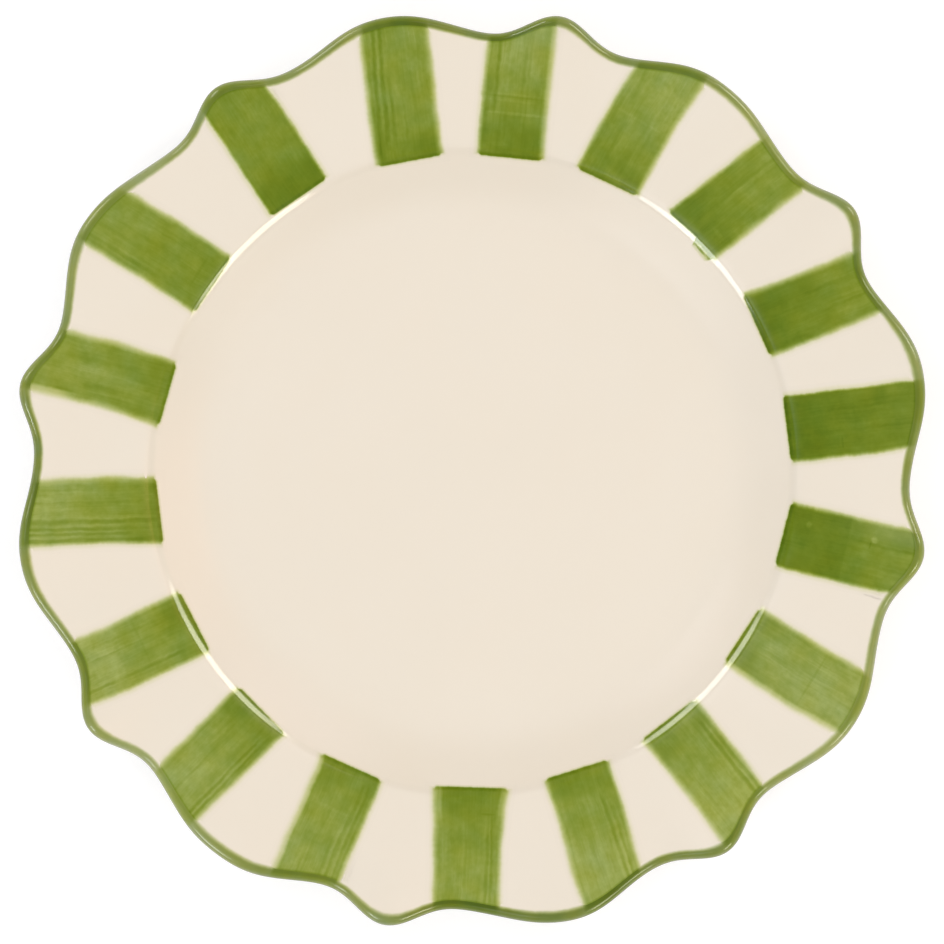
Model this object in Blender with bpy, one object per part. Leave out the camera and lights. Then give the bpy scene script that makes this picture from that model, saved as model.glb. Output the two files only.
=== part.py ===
"""A china dinner plate with a wavy rim and painted green stripes.

The plate is one shaped clay body. Its layers, from the inside out, are the
biscuit-fired clay, the cream glaze, and the painted colour: eighteen brush
strokes on the rim and a line round the edge. Each layer is its own object.

All the surfaces come from one turned profile, which a wave pushes out and in,
up and down, towards the edge. The verge of the well runs a little out of true.
A layer is that same surface moved along its normals. +Z is up, and the origin is the centre of the circle that the foot
ring stands on. Lengths below are in millimetres and angles in degrees, and
they become metres in make_object.
"""

import math

import bmesh
import bpy

# ---------------------------------------------------------------- dimensions
MEAN_RADIUS = 136.68  # mean outer radius of the finished edge
WAVES = (  # the edge's outline: waves round the rim, amplitude, angle of a crest
    (8, 1.12, 13.0),
    (16, 2.94, 11.7),
    (24, 1.08, 3.9),
    (32, 0.36, 0.3),
    (2, 0.42, 56.7),  # from here on, the unevenness of a rim shaped by hand
    (13, 0.20, 13.5),
    (19, 0.17, 1.0),
    (40, 0.14, 7.1),
    (3, 0.13, 15.6),
    (14, 0.13, 16.1),
    (10, 0.12, 31.8),
    (20, 0.12, 11.2),
    (18, 0.12, 17.2),
    (6, 0.11, 15.7),
    (26, 0.11, 8.2),
)
VERGE_DRIFT = ((1, 0.66, 283.0), (2, 0.24, 45.0))  # how the verge runs out of true
RUFFLE = 0.55  # rise of the edge for each millimetre that the wave pushes it out

FLOOR_Z = 8.0  # glazed floor of the well above the table
FLOOR_RADIUS = 75.0  # flat part of the well
VERGE_RADIUS = 98.0  # where the well's wall turns into the rim
EDGE_ROUND = 2.1  # radius of the rounded edge
FRONT_SLOPES = (  # radius, rise of the front surface in degrees
    (75.0, 0.0),
    (84.0, 15.5),
    (90.0, 19.5),
    (96.0, 21.0),
    (96.8, 24.0),
    (97.2, 28.5),
    (97.7, 31.0),
    (98.25, 28.5),
    (98.65, 21.5),
    (99.4, 15.0),
    (101.2, 11.5),
    (118.0, 10.5),
    (142.0, 10.0),
)
BACK_START_Z = 4.26  # height of the back where the foot ring leaves it
BACK_SLOPES = (  # radius, rise of the back surface in degrees
    (84.9, 22.0),
    (90.0, 27.0),
    (95.0, 28.0),
    (99.0, 17.0),
    (103.0, 11.0),
    (142.0, 10.8),
)
FOOT_OUTSIDE = 84.2  # glazed outer wall of the foot ring
FOOT_INSIDE = 78.6  # glazed inner wall of the foot ring
FOOT_FACE = (80.2, 82.6)  # the unglazed ring that the plate stands on
GLAZE_LINE = 1.2  # height above the table where the glaze stops
RECESS_Z = 3.0  # glazed ceiling inside the foot ring

GLAZE = 0.35  # thickness of the glaze
COLOUR = 0.15  # thickness of a painted layer
GAP = 0.25  # clearance between the clay and its glaze
COLOUR_GAP = 0.30  # clearance between the glaze and the colour on it

SEGMENTS = 128  # round the rim
INNER_SEGMENTS = 64  # round the well and the foot ring
TURN = 0.7  # degrees, brings a row of points onto the crests that reach farthest

EDGE_RADIUS = MEAN_RADIUS - COLOUR_GAP - COLOUR  # mean outer radius of the glaze
ON_TOP = COLOUR_GAP  # underside of the colour, measured from the glaze
COLOUR_TOP = COLOUR_GAP + COLOUR

# Each brush stroke: angle of its middle at the inner end, the same at the outer
# end, radius where it starts, width at the inner end, width at the outer end.
# They are laid by eye about twenty degrees apart, so no two are quite alike.
STROKES = (
    (7.5, 7.3, 97.0, 19.5, 20.0),
    (26.9, 25.7, 96.7, 19.0, 20.0),
    (46.8, 44.7, 98.2, 19.1, 20.7),
    (64.9, 63.4, 96.7, 19.0, 20.2),
    (83.3, 83.4, 96.3, 19.5, 20.7),
    (101.4, 100.4, 96.3, 18.9, 21.5),
    (122.4, 122.7, 98.4, 19.1, 20.0),
    (144.5, 145.5, 96.7, 19.5, 19.9),
    (166.1, 165.7, 95.5, 18.8, 20.8),
    (187.4, 185.7, 95.8, 19.2, 20.0),
    (208.5, 207.4, 96.1, 18.8, 20.1),
    (228.7, 227.8, 96.7, 18.3, 20.2),
    (248.1, 247.6, 97.3, 19.1, 19.8),
    (269.8, 269.2, 96.7, 21.6, 21.0),
    (289.4, 288.9, 96.7, 18.6, 19.5),
    (308.4, 308.4, 96.7, 19.1, 20.7),
    (328.6, 328.5, 96.3, 18.5, 20.7),
    (348.4, 347.8, 96.7, 18.7, 19.8),
)
STROKE_OUTER = 132.6  # mean radius where a stroke meets the line round the edge
STROKE_OUTER_MEASURED = 133.4  # radius that the outer angle and width hold at
STROKE_ROWS = (97.0, 99.2, 103.0, 109.0, 114.0, 119.0, 124.0, 128.0, STROKE_OUTER)
STROKE_CORNER = 1.0  # how far the brush's corners are rounded at the inner end


# ------------------------------------------------------------------- surface
def wave(theta):
    """How far the wave pushes the edge out at this angle, and its rate of change."""
    out = rate = 0.0
    for count, amplitude, crest in WAVES:
        phase = count * (theta - math.radians(crest))
        out += amplitude * math.cos(phase)
        rate -= amplitude * count * math.sin(phase)
    return out, rate


def share(radius):
    """The share of the wave that is felt at this radius, and its rate of change."""
    reach = (radius - VERGE_RADIUS) / (EDGE_RADIUS - VERGE_RADIUS)
    if reach <= 0.0:
        return 0.0, 0.0
    return reach * reach, 2.0 * reach / (EDGE_RADIUS - VERGE_RADIUS)


def ease(x):
    """A smooth step from 0 to 1, and its rate of change."""
    x = min(max(x, 0.0), 1.0)
    return x * x * (3.0 - 2.0 * x), 6.0 * x * (1.0 - x)


def drift(radius, theta):
    """How far the verge and the wall and rim beside it are pushed out of true, and its
    rate of change with the radius and with the angle."""
    up, up_rate = ease((radius - 80.0) / 15.5)
    down, down_rate = ease((118.0 - radius) / 18.0)
    size = rate = 0.0
    for count, amplitude, farthest in VERGE_DRIFT:
        phase = count * (theta - math.radians(farthest))
        size += amplitude * math.cos(phase)
        rate -= amplitude * count * math.sin(phase)
    steep = up_rate / 15.5 * down - down_rate / 18.0 * up
    return up * down * size, steep * size, up * down * rate


def slope_at(slopes, radius):
    """Slope in degrees, between the two rows that hold this radius."""
    for (r0, a0), (r1, a1) in zip(slopes, slopes[1:]):
        if radius <= r1:
            return a0 + (a1 - a0) * max(0.0, radius - r0) / (r1 - r0)
    return slopes[-1][1]


def rise(slopes, start, radius, steps_per_mm=8):
    """Height gained from start to radius along the slopes."""
    steps = max(1, int(abs(radius - start) * steps_per_mm))
    step = (radius - start) / steps
    return sum(
        step * math.tan(math.radians(slope_at(slopes, start + (i + 0.5) * step)))
        for i in range(steps)
    )


def front(radius):
    """Point of the front profile with its direction, going outwards: r, z, dr, dz."""
    if radius <= FLOOR_RADIUS:
        return radius, FLOOR_Z, 1.0, 0.0
    angle = math.radians(slope_at(FRONT_SLOPES, radius))
    z = FLOOR_Z + rise(FRONT_SLOPES, FLOOR_RADIUS, radius)
    return radius, z, math.cos(angle), math.sin(angle)


def back(radius):
    """Point of the back profile, going inwards."""
    start = BACK_SLOPES[0][0]
    angle = math.radians(slope_at(BACK_SLOPES, radius))
    z = BACK_START_Z + rise(BACK_SLOPES, start, radius)
    return radius, z, -math.cos(angle), -math.sin(angle)


def edge(turn):
    """Point of the rounded edge, whose normal has turned this many degrees from
    straight up towards the outside."""
    lean = math.radians(slope_at(FRONT_SLOPES, EDGE_RADIUS))
    top_r = EDGE_RADIUS - EDGE_ROUND - EDGE_ROUND * math.sin(lean)
    centre_z = front(top_r)[1] - EDGE_ROUND * math.cos(lean)
    angle = math.radians(turn)
    r = EDGE_RADIUS - EDGE_ROUND + EDGE_ROUND * math.sin(angle)
    z = centre_z + EDGE_ROUND * math.cos(angle)
    return r, z, math.cos(angle), -math.sin(angle)


def surface(point, theta, offset):
    """A profile point carried round to theta, with the wave, moved along its normal."""
    r0, z0, dr, dz = point
    out, rate = wave(theta)
    part, part_rate = share(r0)
    shift, shift_r, shift_t = drift(r0, theta)
    r = r0 + part * out + shift
    z = z0 + RUFFLE * part * out
    along_r = dr * (1.0 + part_rate * out + shift_r)
    along_z = dz + RUFFLE * part_rate * out * dr
    side_r = part * rate + shift_t
    side_z = RUFFLE * part * rate
    normal = (
        -along_z * r,
        along_z * side_r - along_r * side_z,
        along_r * r,
    )
    length = math.sqrt(sum(n * n for n in normal)) or 1.0
    n_r, n_t, n_z = (n / length for n in normal)
    cos, sin = math.cos(theta), math.sin(theta)
    x = r * cos + offset * (n_r * cos - n_t * sin)
    y = r * sin + offset * (n_r * sin + n_t * cos)
    return x, y, z + offset * n_z


# -------------------------------------------------------------- mesh builders
def ring(mesh, point, segments, offset):
    """A closed ring of vertices. The rings of all layers line up."""
    return [
        mesh.verts.new(
            surface(point, math.radians(TURN) + 2.0 * math.pi * i / segments, offset)
        )
        for i in range(segments)
    ]


def bridge(mesh, inner, outer):
    """Triangles between two rings, one of which may hold twice as many points."""
    n, m = len(inner), len(outer)
    if n == m:
        for i in range(n):
            j = (i + 1) % n
            mesh.faces.new((inner[i], outer[i], outer[j]))
            mesh.faces.new((inner[i], outer[j], inner[j]))
    elif m == 2 * n:
        for i in range(n):
            j = (i + 1) % n
            a, b, c = outer[2 * i], outer[2 * i + 1], outer[(2 * i + 2) % m]
            mesh.faces.new((inner[i], a, b))
            mesh.faces.new((inner[i], b, inner[j]))
            mesh.faces.new((inner[j], b, c))
    else:
        for i in range(m):
            j = (i + 1) % m
            a, b, c = inner[2 * i], inner[2 * i + 1], inner[(2 * i + 2) % n]
            mesh.faces.new((a, outer[i], b))
            mesh.faces.new((b, outer[i], outer[j]))
            mesh.faces.new((b, outer[j], c))


def skin(mesh, profile, offset):
    """A surface through profile, a list of (point, segments). Returns its rings."""
    rings = [ring(mesh, point, segments, offset) for point, segments in profile]
    for a, b in zip(rings, rings[1:]):
        bridge(mesh, a, b)
    return rings


def close_disc(mesh, loop, up):
    """A flat polygon across a ring."""
    mesh.faces.new(loop if up else loop[::-1])


def make_object(name, mesh, material):
    """The finished object, in metres, with its normals facing out."""
    bmesh.ops.recalc_face_normals(mesh, faces=mesh.faces)
    bmesh.ops.scale(mesh, vec=(0.001, 0.001, 0.001), verts=mesh.verts)
    data = bpy.data.meshes.new(name)
    mesh.to_mesh(data)
    mesh.free()
    data.shade_smooth()
    data.set_sharp_from_angle(angle=math.radians(35))
    data.materials.append(material)
    obj = bpy.data.objects.new(name, data)
    bpy.context.scene.collection.objects.link(obj)
    obj.parent = plate
    return obj


def make_material(name, colour, roughness):
    material = bpy.data.materials.new(name)
    material.use_nodes = True
    shader = material.node_tree.nodes["Principled BSDF"]
    shader.inputs["Base Color"].default_value = (*colour, 1.0)
    shader.inputs["Roughness"].default_value = roughness
    shader.inputs["Metallic"].default_value = 0.0
    material.diffuse_color = (*colour, 1.0)
    return material


# --------------------------------------------------------------------- layers
def front_profile():
    """The well, its wall, the verge and the rim, from the middle outwards."""
    inner = [(front(r), INNER_SEGMENTS) for r in (75.0, 80.5, 86.0, 91.0, 95.6)]
    outer = [(front(r), SEGMENTS) for r in (97.0, 99.2, 109.0, 119.0, 128.0)]
    return inner + outer


def edge_profile(turns=(0.0, 45.0, 90.0, 170.0)):
    """The rounded edge, from the front round to the back."""
    return [(edge(turn), SEGMENTS) for turn in turns]


def back_profile():
    """The back, from the edge in to the foot ring's outer wall."""
    return [(back(r), SEGMENTS) for r in (125.0, 112.0, 101.0)] + [
        (back(r), INNER_SEGMENTS) for r in (94.0, 84.9)
    ]


def foot_wall(radius, height, outwards):
    """A point of the foot ring's wall: the outer wall faces out, the inner wall in."""
    lean = math.radians(10.0)
    if outwards:
        return radius, height, -math.sin(lean), -math.cos(lean)
    return radius, height, -math.sin(lean), math.cos(lean)


def build_clay_body():
    """Biscuit-fired clay: the front, edge and back below their glaze, and the bare
    face of the foot ring."""
    mesh = bmesh.new()
    under = -(GLAZE + GAP)
    rings = skin(mesh, front_profile() + edge_profile() + back_profile(), under)
    foot = [
        ring(mesh, foot_wall(FOOT_OUTSIDE, GLAZE_LINE, True), INNER_SEGMENTS, under),
        ring(mesh, (FOOT_FACE[1], 0.0, -1.0, 0.0), INNER_SEGMENTS, 0.0),
        ring(mesh, (FOOT_FACE[0], 0.0, -1.0, 0.0), INNER_SEGMENTS, 0.0),
        ring(mesh, foot_wall(FOOT_INSIDE, GLAZE_LINE, False), INNER_SEGMENTS, under),
        ring(mesh, (FOOT_INSIDE - 1.2, RECESS_Z, -1.0, 0.0), INNER_SEGMENTS, under),
    ]
    for a, b in zip([rings[-1]] + foot, foot):
        bridge(mesh, a, b)
    close_disc(mesh, rings[0], True)
    close_disc(mesh, foot[-1], False)
    return make_object("clay_body", mesh, biscuit)


def build_glaze_coat():
    """The glaze over the front, round the edge and down to the foot ring."""
    mesh = bmesh.new()
    profile = (
        front_profile()
        + edge_profile()
        + back_profile()
        + [(foot_wall(FOOT_OUTSIDE, GLAZE_LINE, True), INNER_SEGMENTS)]
    )
    outside = skin(mesh, profile, 0.0)
    inside = skin(mesh, profile, -GLAZE)
    bridge(mesh, outside[-1], inside[-1])
    close_disc(mesh, outside[0], True)
    close_disc(mesh, inside[0], False)
    return make_object("glaze_coat", mesh, cream_glaze)


def build_recess_glaze():
    """The patch of glaze inside the foot ring."""
    mesh = bmesh.new()
    profile = [
        (foot_wall(FOOT_INSIDE, GLAZE_LINE, False), INNER_SEGMENTS),
        ((FOOT_INSIDE - 1.2, RECESS_Z, -1.0, 0.0), INNER_SEGMENTS),
    ]
    outside = skin(mesh, profile, 0.0)
    inside = skin(mesh, profile, -GLAZE)
    bridge(mesh, outside[0], inside[0])
    close_disc(mesh, outside[-1], False)
    close_disc(mesh, inside[-1], True)
    return make_object("recess_glaze", mesh, cream_glaze)


def build_rim_line():
    """The line of colour round the rounded edge, from the front to below the middle."""
    mesh = bmesh.new()
    profile = edge_profile((0.0, 45.0, 90.0, 170.0))
    lower = surface_between(profile[2][0], profile[3][0], 0.5)
    profile = profile[:3] + [(lower, SEGMENTS)]
    outside = skin(mesh, profile, COLOUR_TOP)
    inside = skin(mesh, profile, ON_TOP)
    bridge(mesh, outside[0], inside[0])
    bridge(mesh, outside[-1], inside[-1])
    return make_object("rim_line", mesh, green)


def surface_between(a, b, t):
    """A point on the straight facet between two profile points."""
    dr, dz = b[0] - a[0], b[1] - a[1]
    length = math.hypot(dr, dz)
    return a[0] + t * dr, a[1] + t * dz, dr / length, dz / length


def build_stroke(name, stroke):
    """One brush stroke: a thin strip that starts at the verge and follows the rim."""
    start_angle, end_angle, start_r, start_width, end_width = stroke
    start_r -= drift(start_r, math.radians(start_angle))[0]
    rows = [start_r] + [r for r in STROKE_ROWS if r > start_r + 0.5]
    columns = 4
    layers = []
    mesh = bmesh.new()
    for offset in (COLOUR_TOP, ON_TOP):
        layer = []
        for row, radius in enumerate(rows):
            t = (radius - start_r) / (STROKE_OUTER_MEASURED - start_r)
            middle = math.radians(start_angle + t * (end_angle - start_angle))
            width = start_width + t * (end_width - start_width)
            if row == 0:
                width -= 2.0 * STROKE_CORNER
            layer.append(
                [
                    mesh.verts.new(
                        surface(
                            front(radius),
                            middle + (column / columns - 0.5) * width / radius,
                            offset,
                        )
                    )
                    for column in range(columns + 1)
                ]
            )
        layers.append(layer)
        for low, high in zip(layer, layer[1:]):
            for i in range(columns):
                mesh.faces.new((low[i], high[i], high[i + 1]))
                mesh.faces.new((low[i], high[i + 1], low[i + 1]))
    top, bottom = layers
    for a, b in ((top[0], bottom[0]), (top[-1], bottom[-1])):
        for i in range(columns):
            mesh.faces.new((a[i], a[i + 1], b[i + 1], b[i]))
    for side in (0, -1):
        for i in range(len(rows) - 1):
            mesh.faces.new(
                (top[i][side], top[i + 1][side], bottom[i + 1][side], bottom[i][side])
            )
    return make_object(name, mesh, green)


# ---------------------------------------------------------------------- build
for old in list(bpy.data.objects):
    bpy.data.objects.remove(old, do_unlink=True)

plate = bpy.data.objects.new("plate", None)
bpy.context.scene.collection.objects.link(plate)

biscuit = make_material("biscuit_clay", (0.60, 0.47, 0.34), 0.85)
cream_glaze = make_material("cream_glaze", (0.847, 0.768, 0.658), 0.10)
green = make_material("green_colour", (0.202, 0.296, 0.032), 0.12)

build_clay_body()
build_glaze_coat()
build_recess_glaze()
build_rim_line()
for number, stroke in enumerate(STROKES, start=1):
    build_stroke(f"stripe_{number:02d}", stroke)
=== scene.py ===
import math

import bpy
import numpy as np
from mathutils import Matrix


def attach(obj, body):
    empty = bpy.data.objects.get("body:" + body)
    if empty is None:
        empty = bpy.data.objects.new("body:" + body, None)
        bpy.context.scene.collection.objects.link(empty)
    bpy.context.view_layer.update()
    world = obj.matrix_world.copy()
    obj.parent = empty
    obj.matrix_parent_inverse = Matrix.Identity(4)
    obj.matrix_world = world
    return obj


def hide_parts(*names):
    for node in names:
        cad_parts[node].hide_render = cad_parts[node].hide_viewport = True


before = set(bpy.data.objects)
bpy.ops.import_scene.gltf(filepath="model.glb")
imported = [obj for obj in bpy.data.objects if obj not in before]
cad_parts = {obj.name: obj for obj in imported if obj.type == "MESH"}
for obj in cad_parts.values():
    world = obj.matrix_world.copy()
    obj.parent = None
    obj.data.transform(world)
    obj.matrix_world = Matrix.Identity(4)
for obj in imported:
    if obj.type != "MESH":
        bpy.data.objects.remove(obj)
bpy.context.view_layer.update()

# The finish of a china dinner plate with a wavy rim and painted green stripes.
#
# Every CAD node is replaced by one fine mesh of the same piece: the biscuit clay, the
# cream glaze over it, the glaze inside the foot ring, eighteen brush strokes and the
# line round the edge. All of them are read off one turned profile that the wave of the
# rim pushes out and in, up and down. Lengths are in millimetres, angles in degrees.

# ------------------------------------------------------------------ dimensions
MEAN_RADIUS = 136.55  # mean outer radius of the finished edge
WAVES = (  # the edge's outline: waves round the rim, amplitude, angle of a crest
    (8, 1.12, 13.0),
    (16, 2.94, 11.7),
    (24, 1.08, 3.9),
    (32, 0.36, 0.3),
    (2, 0.42, 56.7),  # from here on, the unevenness of a rim shaped by hand
    (13, 0.20, 13.5),
    (19, 0.17, 1.0),
    (40, 0.14, 7.1),
    (3, 0.13, 15.6),
    (14, 0.13, 16.1),
    (10, 0.12, 31.8),
    (20, 0.12, 11.2),
    (18, 0.12, 17.2),
    (6, 0.11, 15.7),
    (26, 0.11, 8.2),
)
LINE_LOAD = (  # how the line's colour thickens and thins with the angle round the edge
    (2, 0.10, 180.0),
    (4, 0.15, 23.0),
    (3, 0.065, 150.0),
    (10, 0.05, 247.0),
    (12, 0.065, 27.0),
)
VERGE_DRIFT = ((1, 0.66, 283.0), (2, 0.24, 45.0))  # how the verge runs out of true
RUFFLE = 0.55  # rise of the edge for each millimetre that the wave pushes it out

FLOOR_Z = 8.0
FLOOR_RADIUS = 75.0
VERGE_RADIUS = 98.0
EDGE_ROUND = 2.1
FRONT_SLOPES = (
    (75.0, 0.0),
    (84.0, 15.5),
    (90.0, 19.5),
    (96.0, 21.0),
    (96.75, 24.3),
    (97.2, 28.3),
    (97.75, 29.5),
    (98.3, 28.3),
    (98.7, 21.5),
    (99.4, 15.0),
    (101.2, 11.5),
    (118.0, 10.5),
    (142.0, 10.0),
)
BACK_START_Z = 4.26
BACK_SLOPES = (
    (84.9, 22.0),
    (90.0, 27.0),
    (95.0, 28.0),
    (99.0, 17.0),
    (103.0, 11.0),
    (142.0, 10.8),
)
FOOT_OUTSIDE = 84.2
FOOT_INSIDE = 78.6
FOOT_FACE = (80.2, 82.6)
GLAZE_LINE = 1.2
RECESS_Z = 3.0
GLAZE = 0.35

PAINT = 0.030  # height of the painted line above the glaze
EDGE_RADIUS = MEAN_RADIUS - PAINT  # mean outer radius of the glaze

SEGMENTS = 512
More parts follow.
